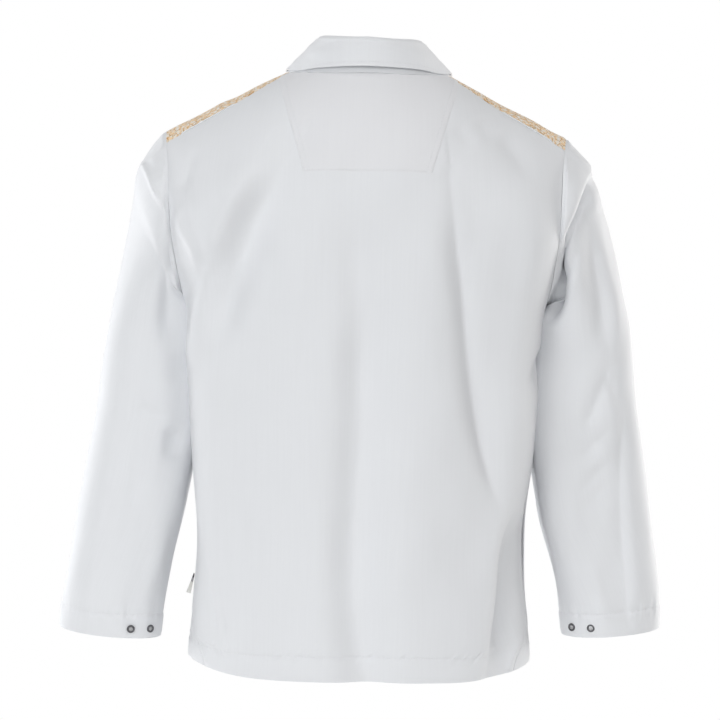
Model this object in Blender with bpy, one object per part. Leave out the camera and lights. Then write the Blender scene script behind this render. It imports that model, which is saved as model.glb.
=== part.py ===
"""Pullover tunic of white work cloth, filled out as if worn, with no wearer.

Metres. +X is the wearer's left, -Y the front and +Z up. The origin is the middle of the
neck at the height of the shoulders, where the wearer carries the tunic.

One smooth surface, body_point, gives the whole trunk. The back, the front and the two
shoulder yokes are cut from it, the neck panel is made from points of the back, and each
sleeve starts on the armhole that the trunk leaves open.
"""

import math
from bisect import bisect_right

import bpy
from mathutils import Vector

# Cloth and seams
CLOTH = 0.0012
TURNED_HEM = 0.0024
COLLAR_CLOTH = 0.0015
GAP = 0.0003
ARMHOLE_GAP = 0.0008  # on the outer face, where the cloth bends over the seam

# Heights on the trunk
HEM_Z = -0.744
HEM_CORNER_RISE = 0.016
VENT_TOP_Z = -0.670
UNDERARM_Z = -0.285
HEM_DEPTH = 0.030

# Shoulder line: it falls from the neck to the tip with a soft crown over the neck
SHOULDER_CROWN_Z = 0.057
SHOULDER_FALL = 0.529
SHOULDER_CROWN_WIDTH = 0.050
TIP_X = 0.2505

# Neck hole, seen from above
NECK_HALF_WIDTH = 0.103
NECK_BACK_DEPTH = 0.077
NECK_FRONT_DEPTH = 0.080

# Yoke seams: angle round the neck hole, and the drop below the ridge at the armhole
YOKE_BACK_ANGLE = math.radians(72)
YOKE_FRONT_ANGLE = math.radians(125)
YOKE_BACK_DROP = 0.0195
YOKE_BACK_BOW = 0.004
YOKE_FRONT_DROP = 0.055

# Neck panel on the back: half widths and the height of its lower edge
PANEL_TOP_HALF = 0.112
PANEL_BOTTOM_HALF = 0.0775
PANEL_BOTTOM_Z = -0.136
PANEL_CLOTH = 0.0010
ARMHOLE_MIDDLE_Z = -0.185
PANEL_TOP_SHARE = 0.94  # of the last row's height, so that it ends below the neck seam

# Front slit
SLIT_TOP_HALF = 0.024
SLIT_BOTTOM_HALF = 0.0008
SLIT_TOP_Z = -0.074

# Side vents: below the side seam the front's cloth turns back round the hip to meet the back's
VENT_TURN = math.radians(29)
VENT_SLIT = math.radians(0.4)

# How far below the ridge the trunk takes to reach its full depth, at the neck and at the tip
BACK_REACH = (0.17, 0.15)
FRONT_REACH = (0.30, 0.16)
BACK_ROUNDNESS = (2.0, 2.0)
FRONT_ROUNDNESS = (1.5, 2.0)
REACH_WIDTH = 0.2

SQUARENESS = 2.2  # 2 is an ellipse
BODY_SECTION_COLUMNS = ("z", "half_width", "back_depth", "front_depth")
BODY_SECTIONS = (
    (-0.760, 0.2150, 0.121, 0.133),
    (-0.690, 0.2100, 0.121, 0.133),
    (-0.625, 0.2050, 0.121, 0.133),
    (-0.560, 0.2050, 0.121, 0.133),
    (-0.490, 0.2125, 0.122, 0.134),
    (-0.400, 0.2180, 0.124, 0.135),
    (-0.330, 0.2215, 0.126, 0.136),
    (-0.285, 0.2270, 0.127, 0.136),
    (-0.240, 0.2500, 0.127, 0.135),
    (-0.180, 0.2850, 0.127, 0.133),
    (-0.080, 0.3050, 0.122, 0.130),
    (0.000, 0.3050, 0.116, 0.128),
    (0.060, 0.3050, 0.112, 0.126),
)

ARMHOLE_COLUMNS = ("z", "back_x", "front_x")
ARMHOLE = (
    (-0.285, 0.2270, 0.2270),
    (-0.270, 0.2290, 0.2245),
    (-0.245, 0.2325, 0.2205),
    (-0.210, 0.2375, 0.2190),
    (-0.165, 0.2410, 0.2225),
    (-0.120, 0.2440, 0.2330),
    (-0.095, 0.2480, 0.2430),
    (-0.0781, 0.2505, 0.2505),
    (-0.060, 0.2510, 0.2510),
)

# Rings of the left sleeve from the armhole to the cuff, seen from behind
SLEEVE_COLUMNS = ("outer_x", "outer_z", "inner_x", "inner_z", "middle_y", "half_depth")
SLEEVE_RINGS = (
    (0.2508, -0.0781, 0.2273, -0.2850, -0.008, 0.070),
    (0.2690, -0.0985, 0.2315, -0.2860, -0.010, 0.073),
    (0.2870, -0.1290, 0.2310, -0.2895, -0.015, 0.075),
    (0.2930, -0.1660, 0.2272, -0.2980, -0.024, 0.077),
    (0.3030, -0.2150, 0.2224, -0.3130, -0.034, 0.077),
    (0.3170, -0.2850, 0.2181, -0.3400, -0.042, 0.075),
    (0.3270, -0.3450, 0.2148, -0.3790, -0.046, 0.072),
    (0.3365, -0.4160, 0.2140, -0.4380, -0.048, 0.067),
    (0.3465, -0.4780, 0.2225, -0.4960, -0.048, 0.061),
    (0.3580, -0.5450, 0.2330, -0.5590, -0.048, 0.055),
    (0.3695, -0.6160, 0.2425, -0.6290, -0.047, 0.048),
    (0.3777, -0.6680, 0.2500, -0.6800, -0.046, 0.043),
    (0.3817, -0.7025, 0.2525, -0.7140, -0.045, 0.040),
)
SLEEVE_LAST = len(SLEEVE_RINGS) - 1
ARMHOLE_FADE = 3.0  # rings over which the armhole's outline becomes an ellipse
CUFF_BACK_DIP = 0.10  # the cuff's plane falls this much towards the back
ELBOW_RING = 5
CUFF_HEM_RINGS = 0.75

# The right arm hangs a little higher and further out at the elbow than the left
RIGHT_BOW = 0.011
RIGHT_BOW_START = 2.0
RIGHT_LIFT = 0.011
RIGHT_CUFF_NARROWER = 0.005

# The right shoulder sits a little lower half way along, and its tip a little further in
RIGHT_DROP = 0.0042
RIGHT_DROP_X = 0.165
RIGHT_DROP_REACH = 0.065
RIGHT_IN = 0.0050
RIGHT_IN_REACH = 0.035

# Collar, by the angle round the neck from the centre back
COLLAR_END_ANGLE = math.radians(160)
FOLD_HALF_WIDTH = 0.0640
FOLD_BACK_DEPTH = 0.070
FOLD_FRONT_DEPTH = 0.074
FOLD_BACK_Z = 0.0290
FOLD_SIDE_Z = 0.0355
FOLD_LEAN = 0.028  # the fold's slope from the wearer's left down to the right
FOLD_SHIFT = -0.0015  # the collar's top leans a little to the wearer's right
FOLD_SQUARENESS = 2.5
FOLD_FRONT_Z = -0.034
FOLD_ROLL = 0.0018
ROLL_STEPS = ((0.0, 1.0), (0.75, 1.15))  # out and up from the fold line, in rolls
ROLL_END = (2.2, -0.5)
LEAF_SIDE_X = 0.1030
LEAF_BACK_Y = 0.0855
LEAF_BACK_Z = -0.0045
LEAF_POINT_X = 0.066
LEAF_POINT_Y = -0.112
LEAF_CLEARANCE = 0.0040
LEAF_CURVE = 1.6
LEAF_HANGS_TO = math.radians(40)
LEAF_RESTS_FROM = math.radians(80)
LEAF_BULGE = 0.001
LEAF_OFF_STAND = 0.0031

# Press studs, and their places round the cuff
STUD_RADIUS = 0.0050
STUD_HEIGHT = 0.0022
STUD_SOCKET_RADIUS = 0.0026
STUD_SOCKET_DEPTH = 0.0010
STUD_RIM = 0.0012
STUD_ABOVE_HEM = 0.0130
STUD_SIDES = 16
STUD_ANGLES = (("outer", math.radians(117)), ("inner", math.radians(144)))

# Tape label in the left side seam
LABEL_TOP_Z = -0.629
LABEL_HEIGHT = 0.024
LABEL_WIDTH = 0.013
LABEL_CLOTH = 0.0009
LABEL_STAND_OFF = 0.0018
LABEL_FROM_SEAM = 0.004
LABEL_TUCK = 0.0008

NORMAL_STEP = 0.01  # of a ring, or of an angle

# Grid sizes
PANEL_FRACTIONS = (0.0, 0.25, 0.5, 0.72, 0.90, 1.0)
OUTER_COLUMNS = 8
LOWER_ROWS = 10
MIDDLE_ROWS = 5
MIDDLE_CROWDING = 1.7  # rows lie closer together near the underarm
MIDDLE_SPREAD = 0.35  # the back's columns at the row of the neck panel's lower edge
UPPER_ROWS = 4
YOKE_ACROSS = 6
YOKE_ALONG = 7
COLLAR_AROUND = 26

WHITE = (0.86, 0.87, 0.88, 1.0)
PATTERNED = (0.83, 0.66, 0.34, 1.0)
GUNMETAL = (0.20, 0.20, 0.21, 1.0)
TAPE = (0.80, 0.80, 0.80, 1.0)


def smooth_table(rows, column):
    """A smooth function through one column of a table whose first column rises."""
    keys = [row[0] for row in rows]
    values = [row[column] for row in rows]
    last = len(rows) - 1

    def slope(i):
        low = max(i - 1, 0)
        high = min(i + 1, last)
        return (values[high] - values[low]) / (keys[high] - keys[low])

    def value(at):
        at = min(max(at, keys[0]), keys[last])
        i = min(max(bisect_right(keys, at) - 1, 0), last - 1)
        step = keys[i + 1] - keys[i]
        u = (at - keys[i]) / step
        rise = values[i + 1] - values[i]
        start = slope(i) * step
        end = slope(i + 1) * step
        square = u * u * (3 * rise - 2 * start - end)
        cube = u**3 * (start + end - 2 * rise)
        return values[i] + u * start + square + cube

    return value


def numbered(rows):
    """The rows with their own number in front, as smooth_table's first column."""
    return [(float(i), *row) for i, row in enumerate(rows)]


half_width = smooth_table(BODY_SECTIONS, 1)
back_depth = smooth_table(BODY_SECTIONS, 2)
front_depth = smooth_table(BODY_SECTIONS, 3)
armhole_back_x = smooth_table(ARMHOLE, 1)
armhole_front_x = smooth_table(ARMHOLE, 2)
sleeve_value = {
    name: smooth_table(numbered(SLEEVE_RINGS), 1 + i) for i, name in enumerate(SLEEVE_COLUMNS)
}


def mix(a, b, t):
    return a + (b - a) * t


def ease(t):
    t = min(max(t, 0.0), 1.0)
    return t * t * (3 - 2 * t)


# The trunk


def ridge_z(x):
    return SHOULDER_CROWN_Z - SHOULDER_FALL * math.hypot(x, SHOULDER_CROWN_WIDTH)


def round_over(x, drop, side):
    """0 at the shoulder ridge to 1 where the trunk reaches its full depth."""
    outward = ease(abs(x) / REACH_WIDTH)
    reach = mix(*(BACK_REACH if side > 0 else FRONT_REACH), outward)
    power = mix(*(BACK_ROUNDNESS if side > 0 else FRONT_ROUNDNESS), outward)
    u = min(max(drop / reach, 0.0), 1.0)
    return (1 - (1 - u) ** power) ** (1 / power)


def body_depth(x, z, side):
    """How far the trunk reaches from the plane y = 0, at the back (side 1) or the front (side -1)."""
    across = min(abs(x) / half_width(z), 1.0)
    depth = back_depth(z) if side > 0 else front_depth(z)
    section = (1 - across**SQUARENESS) ** (1 / SQUARENESS)
    return depth * section * round_over(x, ridge_z(x) - z, side)


def body_point(x, z, side):
    return Vector((x, side * body_depth(x, z, side), z))


def height_at(x, y):
    """The height of the trunk's surface over a point of the plan, found by halving."""
    side = 1 if y >= 0 else -1
    high = ridge_z(x)
    low = high - 0.16
    for _ in range(40):
        middle = (high + low) / 2
        if body_depth(x, middle, side) < abs(y):
            high = middle
        else:
            low = middle
    return (high + low) / 2


def neck_point(angle):
    """The neck hole's edge, by the angle from the centre back towards the wearer's left."""
    x = NECK_HALF_WIDTH * math.sin(angle)
    depth = NECK_BACK_DEPTH if math.cos(angle) >= 0 else NECK_FRONT_DEPTH
    y = depth * math.cos(angle)
    return Vector((x, y, height_at(x, y)))


def armhole_x(z, side):
    return armhole_back_x(z) if side > 0 else armhole_front_x(z)


def armhole_end(drop, side):
    """The point of the armhole that lies this far below the ridge."""
    x = TIP_X
    for _ in range(6):
        x = armhole_x(ridge_z(x) - drop, side)
    return x, ridge_z(x) - drop


# Yokes


def yoke_seam(t, side):
    """(x, z) on a yoke seam, from the neck (t = 0) to the armhole (t = 1)."""
    start = neck_point(YOKE_BACK_ANGLE if side > 0 else YOKE_FRONT_ANGLE)
    end_drop = YOKE_BACK_DROP if side > 0 else YOKE_FRONT_DROP
    end_x, _ = armhole_end(end_drop, side)
    x = mix(start.x, end_x, t)
    start_drop = ridge_z(start.x) - start.z
    bow = YOKE_BACK_BOW * math.sin(math.pi * t) if side > 0 else 0.0
    return x, ridge_z(x) - mix(start_drop, end_drop, t) - bow


def yoke_point(along, across):
    """along runs from the neck (0) to the armhole (1), across from the front (-1) to the back (1)."""
    side = 1 if across >= 0 else -1
    seam_angle = YOKE_BACK_ANGLE if side > 0 else YOKE_FRONT_ANGLE
    neck = neck_point(mix(math.pi / 2, seam_angle, abs(across)))
    neck_drop = ridge_z(neck.x) - neck.z
    seam_x, seam_z = yoke_seam(along, side)
    seam_drop = ridge_z(seam_x) - seam_z
    seam_start_drop = ridge_z(neck_point(seam_angle).x) - neck_point(seam_angle).z
    drop = across**2 * seam_drop + (1 - along) * (neck_drop - across**2 * seam_start_drop)
    end_x, _ = armhole_end(across**2 * (YOKE_BACK_DROP if side > 0 else YOKE_FRONT_DROP), side)
    x = mix(neck.x, end_x, along)
    return body_point(x, ridge_z(x) - drop, side)


# Back and front


def section_share(angle):
    """How far across the trunk's section an angle from its centre reaches, 0 to 1."""
    return max(math.sin(angle), 0.0) ** (2 / SQUARENESS)


def section_angle(share):
    return math.asin(share ** (SQUARENESS / 2))


def column_list():
    """(fraction of the neck panel's half width, or None, fraction of the rest) for each half column."""
    inner = [(u, None) for u in PANEL_FRACTIONS]
    outer = [(None, (i + 1) / OUTER_COLUMNS) for i in range(OUTER_COLUMNS)]
    return inner + outer


def lower_point(column, t, side):
    """Between the hem (t = 0) and the underarm (t = 1)."""
    inner, outer = column
    panel_angle = section_angle(PANEL_BOTTOM_HALF / half_width(UNDERARM_Z))
    level_z = mix(HEM_Z, UNDERARM_Z, t)
    open_share = ease((VENT_TOP_Z - level_z) / (VENT_TOP_Z - HEM_Z))
    end_angle = math.pi / 2 - side * VENT_TURN * open_share
    if side > 0:
        end_angle -= VENT_SLIT * open_share
    if outer is None:
        angle = section_angle(inner * section_share(panel_angle))
    else:
        angle = mix(panel_angle, end_angle, outer)
    behind = angle > math.pi / 2
    angle = min(angle, math.pi - angle)
    z = level_z + HEM_CORNER_RISE * ease((angle / (math.pi / 2) - 0.3) / 0.7) * (1 - t)
    depth = back_depth(z) if behind or side > 0 else front_depth(z)
    y = depth * section_share(math.pi / 2 - angle)
    if behind:
        y = -y
    return Vector((half_width(z) * section_share(angle), side * (y + GAP), z))


def upper_columns_x(column, z, spread, panel_half, side):
    """spread runs from columns as far apart as at the underarm (0) to evenly apart (1)."""
    inner, outer = column
    if outer is None:
        return inner * panel_half
    under = half_width(UNDERARM_Z)
    x = under * section_share(mix(section_angle(PANEL_BOTTOM_HALF / under), math.pi / 2, outer))
    share = (x - PANEL_BOTTOM_HALF) / (under - PANEL_BOTTOM_HALF)
    return mix(panel_half, armhole_x(z, side), mix(share, outer, spread))


def back_top(column):
    """(x, z) on the back's top edge, which follows the neck hole and then the yoke seam."""
    inner, outer = column
    seam_start = neck_point(YOKE_BACK_ANGLE).x
    seam_end, _ = yoke_seam(1.0, 1)
    x = inner * PANEL_TOP_HALF if outer is None else mix(PANEL_TOP_HALF, seam_end, outer)
    if x < seam_start:
        return x, neck_point(math.asin(x / NECK_HALF_WIDTH)).z - GAP
    _, z = yoke_seam((x - seam_start) / (seam_end - seam_start), 1)
    return x, z - GAP


def front_top(column):
    """(x, z) on the front's top edge: the neckline beside the slit, then the yoke seam."""
    inner, outer = column
    corner = neck_point(YOKE_FRONT_ANGLE)
    slit_angle = math.pi - math.asin(SLIT_TOP_HALF / NECK_HALF_WIDTH)
    if outer is None:
        point = neck_point(mix(slit_angle, YOKE_FRONT_ANGLE, inner))
        return point.x, point.z - GAP
    seam_end, _ = yoke_seam(1.0, -1)
    x = mix(corner.x, seam_end, outer)
    _, z = yoke_seam((x - corner.x) / (seam_end - corner.x), -1)
    return x, z - GAP


def middle_z(column):
    """The height of the row at the neck panel's lower edge, which drops towards the armhole."""
    _, outer = column
    return PANEL_BOTTOM_Z if outer is None else mix(PANEL_BOTTOM_Z, ARMHOLE_MIDDLE_Z, ease(outer))


def upper_z(middle, top, t):
    """Height between the underarm (t = 0), the middle row (t = 1) and the top edge (t = 2)."""
    if t <= 1:
        return mix(UNDERARM_Z, middle, t**MIDDLE_CROWDING)
    return mix(middle, top, t - 1)


def back_upper_point(column, t):
    """Between the underarm (t = 0), the neck panel's lower edge (t = 1) and the top edge (t = 2)."""
    top_x, top_z = back_top(column)
    z = upper_z(middle_z(column), top_z, t)
    if t <= 1:
        x = upper_columns_x(column, z, MIDDLE_SPREAD * t, PANEL_BOTTOM_HALF, 1)
    else:
        panel_half = mix(PANEL_BOTTOM_HALF, PANEL_TOP_HALF, t - 1)
        x = upper_columns_x(column, z, mix(MIDDLE_SPREAD, 1.0, t - 1), panel_half, 1)
    if t == 2:
        x = top_x
    return body_point(x, z, 1) + Vector((0, GAP, 0))


def slit_half(z):
    return mix(SLIT_BOTTOM_HALF, SLIT_TOP_HALF, (z - UNDERARM_Z) / (SLIT_TOP_Z - UNDERARM_Z))


def front_upper_point(column, t):
    """Between the underarm (t = 0), the middle row (t = 1) and the top edge (t = 2)."""
    inner, outer = column
    top_x, top_z = front_top(column)
    z = upper_z(middle_z(column), top_z, t)
    corner_x = neck_point(YOKE_FRONT_ANGLE).x
    panel_half = mix(PANEL_BOTTOM_HALF, corner_x, max(t - 1, 0.0))
    if outer is None:
        x = mix(slit_half(z), panel_half, inner)
    else:
        x = upper_columns_x(column, z, t / 2, panel_half, -1)
    if t == 2:
        x = top_x
    return body_point(x, z, -1) - Vector((0, GAP, 0))


def upper_steps():
    """The values of t that the rows above the underarm stand at."""
    steps = [i / MIDDLE_ROWS for i in range(MIDDLE_ROWS)]
    return steps + [1 + i / UPPER_ROWS for i in range(UPPER_ROWS + 1)]


def trunk_rows(side):
    """Rows of points from the centre to the wearer's left edge, hem first."""
    columns = column_list()
    rows = [
        [lower_point(column, i / LOWER_ROWS, side) for column in columns] for i in range(LOWER_ROWS)
    ]
    upper = back_upper_point if side > 0 else front_upper_point
    rows += [[upper(column, t) for column in columns] for t in upper_steps()]
    return rows


def mirrored(point):
    """The matching point on the wearer's right, whose shoulder sits a little lower and further in."""
    x, y, z = point
    low = math.exp(-(((x - RIGHT_DROP_X) / RIGHT_DROP_REACH) ** 2)) * ease((z + 0.25) / 0.12)
    inward = math.exp(-(((x - TIP_X) / RIGHT_IN_REACH) ** 2)) * ease((z + 0.30) / 0.15)
    return Vector((RIGHT_IN * inward - x, y, z - RIGHT_DROP * low))


def whole_rows(half_rows):
    """Full rows from the wearer's right edge to the left edge."""
    return [[mirrored(p) for p in reversed(row[1:])] + row for row in half_rows]


# Objects


def material(name, colour, roughness, metallic=0.0):
    made = bpy.data.materials.new(name)
    made.use_nodes = True
    shader = made.node_tree.nodes["Principled BSDF"]
    shader.inputs["Base Color"].default_value = colour
    shader.inputs["Roughness"].default_value = roughness
    shader.inputs["Metallic"].default_value = metallic
    return made


def mesh_object(name, points, faces, colour, roughness=0.85, metallic=0.0):
    mesh = bpy.data.meshes.new(name)
    mesh.from_pydata([tuple(p) for p in points], [], faces)
    mesh.shade_smooth()
    mesh.set_sharp_from_angle(angle=math.radians(40))
    mesh.materials.append(material(name, colour, roughness, metallic))
    made = bpy.data.objects.new(name, mesh)
    bpy.context.scene.collection.objects.link(made)
    return made


def thicken(obj, thickness, doubled=(), double_thickness=TURNED_HEM):
    """Solidify inwards; the doubled vertices get the turned hem's thickness."""
    solidify = obj.modifiers.new("Cloth", "SOLIDIFY")
    solidify.offset = -1
    solidify.thickness = thickness
    if doubled:
        group = obj.vertex_groups.new(name="turned_hem")
        group.add(list(doubled), 1.0, "REPLACE")
        solidify.thickness = double_thickness
        solidify.vertex_group = group.name
        solidify.thickness_vertex_group = thickness / double_thickness
    return obj


def grid_faces(rows, columns, flip=False, ring=False):
    """Quads of a grid whose points are stored row by row."""
    faces = []
    for r in range(rows - 1):
        for c in range(columns if ring else columns - 1):
            a = r * columns + c
            b = r * columns + (c + 1) % columns
            face = (a, b, b + columns, a + columns)
            faces.append(face[::-1] if flip else face)
    return faces


def grid_object(name, rows, colour, thickness, flip=False, ring=False, doubled_rows=()):
    points = [p for row in rows for p in row]
    columns = len(rows[0])
    faces = grid_faces(len(rows), columns, flip, ring)
    doubled = [r * columns + c for r in doubled_rows for c in range(columns)]
    return thicken(mesh_object(name, points, faces, colour), thickness, doubled)


def hem_rows(rows):
    return [i for i, row in enumerate(rows) if row[0].z < HEM_Z + HEM_DEPTH * 0.6]


def make_back():
    rows = whole_rows(trunk_rows(1))
    grid_object("back", rows, WHITE, CLOTH, flip=True, doubled_rows=hem_rows(rows))
    return rows


def make_front():
    """The front is one panel whose centre line parts into a slit above the underarm row."""
    half = trunk_rows(-1)
    slit_row = LOWER_ROWS
    points = []
    index = {}
    for r, row in enumerate(half):
        for c, point in enumerate(row):
            for sign in (1, -1):
                if c == 0 and r <= slit_row:
                    index[r, c, sign] = index.get((r, c, 1), len(points))
                    if sign == 1:
                        points.append(Vector((0, point.y, point.z)))
                    continue
                index[r, c, sign] = len(points)
                points.append(point if sign == 1 else mirrored(point))
    faces = []
    for r in range(len(half) - 1):
        for c in range(len(half[0]) - 1):
            corners = ((r, c), (r, c + 1), (r + 1, c + 1), (r + 1, c))
            faces.append([index[i, j, 1] for i, j in corners])
            faces.append([index[i, j, -1] for i, j in reversed(corners)])
    doubled = {index[r, c, s] for r, c, s in index if r in hem_rows(half)}
    thicken(mesh_object("front", points, faces, WHITE), CLOTH, sorted(doubled))


def make_neck_panel(back_rows):
    """The trapezoid is the block of the back's points under the collar, moved out."""
    half = len(PANEL_FRACTIONS) - 1
    centre = len(back_rows[0]) // 2
    first_row = LOWER_ROWS + MIDDLE_ROWS
    rows = []
    for r in range(first_row, len(back_rows)):
        row = []
        for c in range(centre - half, centre + half + 1):
            below = back_rows[r - 1][c]
            above = back_rows[min(r + 1, len(back_rows) - 1)][c]
            left = back_rows[r][c + 1]
            right = back_rows[r][c - 1]
            normal = (above - below).cross(left - right).normalized()
            if normal.y < 0:
                normal.negate()
            row.append(back_rows[r][c] + normal * (2 * GAP + PANEL_CLOTH))
        rows.append(row)
    rows[-1] = [low.lerp(high, PANEL_TOP_SHARE) for low, high in zip(rows[-2], rows[-1])]
    grid_object("back_neck_panel", rows, WHITE, PANEL_CLOTH, flip=True)


def make_yoke(name, sign):
    rows = []
    for i in range(YOKE_ACROSS + 1):
        across = mix(-1.0, 1.0, i / YOKE_ACROSS)
        row = [yoke_point(j / YOKE_ALONG, across) for j in range(YOKE_ALONG + 1)]
        rows.append(row if sign > 0 else [mirrored(p) for p in row])
    grid_object(name, rows, PATTERNED, CLOTH, flip=sign < 0)


# Sleeves


def armhole_point(angle):
    """The armhole's outline: 0 is the shoulder tip, a quarter turn the back, a half turn the underarm."""
    side = 1 if math.sin(angle) >= 0 else -1
    middle = (SLEEVE_RINGS[0][1] + UNDERARM_Z) / 2
    z = middle + (SLEEVE_RINGS[0][1] - middle) * math.cos(angle)
    x = armhole_x(z, side)
    return body_point(x, z, side) + Vector((ARMHOLE_GAP, 0, 0))


def armhole_angles():
    """The angles of the armhole's corner points, which the back, the front and the yoke share."""
    ridge = SLEEVE_RINGS[0][1]
    middle = (ridge + UNDERARM_Z) / 2
    angles = []
    for side, drop in ((1, YOKE_BACK_DROP), (-1, YOKE_FRONT_DROP)):
        shares = [2 * i / YOKE_ACROSS for i in range(YOKE_ACROSS // 2)]
        heights = [armhole_end(drop * share**2, side)[1] for share in shares]
        _, seam = armhole_end(drop, side)
        heights += [upper_z(ARMHOLE_MIDDLE_Z, seam, t) for t in reversed(upper_steps())]
        half = [math.acos(min(max((z - middle) / (ridge - middle), -1), 1)) for z in heights]
        angles += half if side > 0 else [2 * math.pi - angle for angle in half[-2:0:-1]]
    return angles


def ring_point(ring, angle):
    """A point of the ellipse that stands for one ring of the left sleeve."""
    outer = Vector((sleeve_value["outer_x"](ring), 0, sleeve_value["outer_z"](ring)))
    inner = Vector((sleeve_value["inner_x"](ring), 0, sleeve_value["inner_z"](ring)))
    middle = (outer + inner) / 2
    depth = sleeve_value["half_depth"](ring) * math.sin(angle)
    point = middle + (outer - inner) / 2 * math.cos(angle)
    point.y = sleeve_value["middle_y"](ring) + depth
    point.z -= CUFF_BACK_DIP * depth * ease((ring - ELBOW_RING) / 5)
    return point


def sleeve_point(sign, ring, angle):
    point = ring_point(ring, angle)
    if ring < ARMHOLE_FADE:
        fade = 1 - ease(ring / ARMHOLE_FADE)
        point += (armhole_point(angle) - ring_point(0.0, angle)) * fade
    if sign > 0:
        return point
    down = ring / SLEEVE_LAST
    outward = (1 + math.cos(angle)) / 2
    bowed = max((ring - RIGHT_BOW_START) / (SLEEVE_LAST - RIGHT_BOW_START), 0.0)
    point.x += RIGHT_BOW * math.sin(math.pi * bowed**0.75) * outward
    point.x += RIGHT_CUFF_NARROWER * down**2 * (1 - outward)
    point.z += RIGHT_LIFT * ease(down)
    return mirrored(point)


def sleeve_normal(sign, ring, angle):
    """Outward, from two short steps on the surface."""
    step = NORMAL_STEP
    down = sleeve_point(sign, ring, angle) - sleeve_point(sign, ring - step, angle)
    around = sleeve_point(sign, ring, angle + step) - sleeve_point(sign, ring, angle - step)
    return down.cross(around).normalized() * sign


def make_sleeve(name, sign):
    hem_ring = SLEEVE_LAST - CUFF_HEM_RINGS
    rings = [float(i) for i in range(SLEEVE_LAST)] + [hem_ring, float(SLEEVE_LAST)]
    rings.sort()
    rows = [[sleeve_point(sign, ring, angle) for angle in armhole_angles()] for ring in rings]
    doubled = [i for i, ring in enumerate(rings) if ring >= hem_ring]
    grid_object(name, rows, WHITE, CLOTH, flip=sign > 0, ring=True, doubled_rows=doubled)


# Collar


def collar_seam(angle):
    return neck_point(angle) + Vector((0, 0, GAP))


def collar_fold(angle):
    """The top of the stand, where the leaf turns over."""
    turn = abs(angle)
    x = FOLD_HALF_WIDTH * abs(math.sin(turn)) ** (2 / FOLD_SQUARENESS)
    depth = FOLD_BACK_DEPTH if turn < math.pi / 2 else FOLD_FRONT_DEPTH
    y = math.copysign(depth * abs(math.cos(turn)) ** (2 / FOLD_SQUARENESS), math.cos(turn))
    if turn < math.pi / 2:
        z = mix(FOLD_BACK_Z, FOLD_SIDE_Z, math.sin(turn) ** 2)
    else:
        z = mix(FOLD_SIDE_Z, FOLD_FRONT_Z, ease((turn - math.pi / 2) / (COLLAR_END_ANGLE - math.pi / 2)))
    return Vector((x, y, z))


def fold_frame(angle):
    """The directions out and up that are square to the fold line on the wearer's left."""
    turn = abs(angle)
    step = 2 * NORMAL_STEP
    along = (collar_fold(turn + step) - collar_fold(max(turn - step, 0.0))).normalized()
    up = (Vector((0, 0, 1)) - along * along.z).normalized()
    return up.cross(along), up


def leaf_edge(angle):
    """The free edge of the turned-down leaf, which lies just clear of the shoulders and chest."""
    turn = abs(angle)
    if turn < math.pi / 2:
        x = LEAF_SIDE_X * math.sin(turn)
        y = LEAF_BACK_Y * math.cos(turn)
    else:
        share = (turn - math.pi / 2) / (COLLAR_END_ANGLE - math.pi / 2)
        x = mix(LEAF_SIDE_X, LEAF_POINT_X, share**LEAF_CURVE)
        y = LEAF_POINT_Y * math.sin(share * math.pi / 2)
    lying = height_at(x, y) + LEAF_CLEARANCE
    resting = ease((turn - LEAF_HANGS_TO) / (LEAF_RESTS_FROM - LEAF_HANGS_TO))
    return Vector((x, y, mix(LEAF_BACK_Z, lying, resting)))


def leaf_point(angle, down):
    """down runs from the fold (0) to the free edge (1)."""
    fold = collar_fold(angle)
    edge = leaf_edge(angle)
    outward, up = fold_frame(angle)
    start = fold + (outward * ROLL_END[0] + up * ROLL_END[1]) * FOLD_ROLL
    point = start.lerp(edge, down) + outward * LEAF_BULGE * math.sin(math.pi * down)
    seam = collar_seam(abs(angle))
    if point.z > seam.z:
        beside = seam.lerp(fold, (point.z - seam.z) / (fold.z - seam.z))
        clear = beside + outward * (COLLAR_CLOTH + LEAF_OFF_STAND)
        short = (clear - point).dot(outward)
        if short > 0:
            point += outward * short
    if point.y < 0 and point.z < ridge_z(point.x):
        point.y = min(point.y, -body_depth(point.x, point.z, -1) - LEAF_CLEARANCE)
    return point


def collar_angles():
    return [
        mix(-COLLAR_END_ANGLE, COLLAR_END_ANGLE, i / COLLAR_AROUND) for i in range(COLLAR_AROUND + 1)
    ]


def on_side(point, angle, fold_share):
    """The point on its own side of the neck, with the fold's lean from left to right."""
    point = point if angle >= 0 else mirrored(point)
    return point + Vector((FOLD_SHIFT, 0, FOLD_LEAN * point.x)) * fold_share


def make_collar_stand():
    steps = 3
    rows = []
    for i in range(steps + 1):
        row = []
        for angle in collar_angles():
            seam = collar_seam(abs(angle))
            row.append(on_side(seam.lerp(collar_fold(angle), i / steps), angle, i / steps))
        rows.append(row)
    grid_object("collar_stand", rows, WHITE, COLLAR_CLOTH, flip=True)


def make_collar_fall():
    rows = []
    for out, up in ROLL_STEPS:
        row = []
        for angle in collar_angles():
            outward, upward = fold_frame(angle)
            point = collar_fold(angle) + (outward * out + upward * up) * FOLD_ROLL
            row.append(on_side(point, angle, 1.0))
        rows.append(row)
    for down in (0.0, 0.2, 0.4, 0.6, 0.8, 1.0):
        rows.append([on_side(leaf_point(a, down), a, 1 - down) for a in collar_angles()])
    grid_object("collar_fall", rows, WHITE, COLLAR_CLOTH)


# Studs and label


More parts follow.
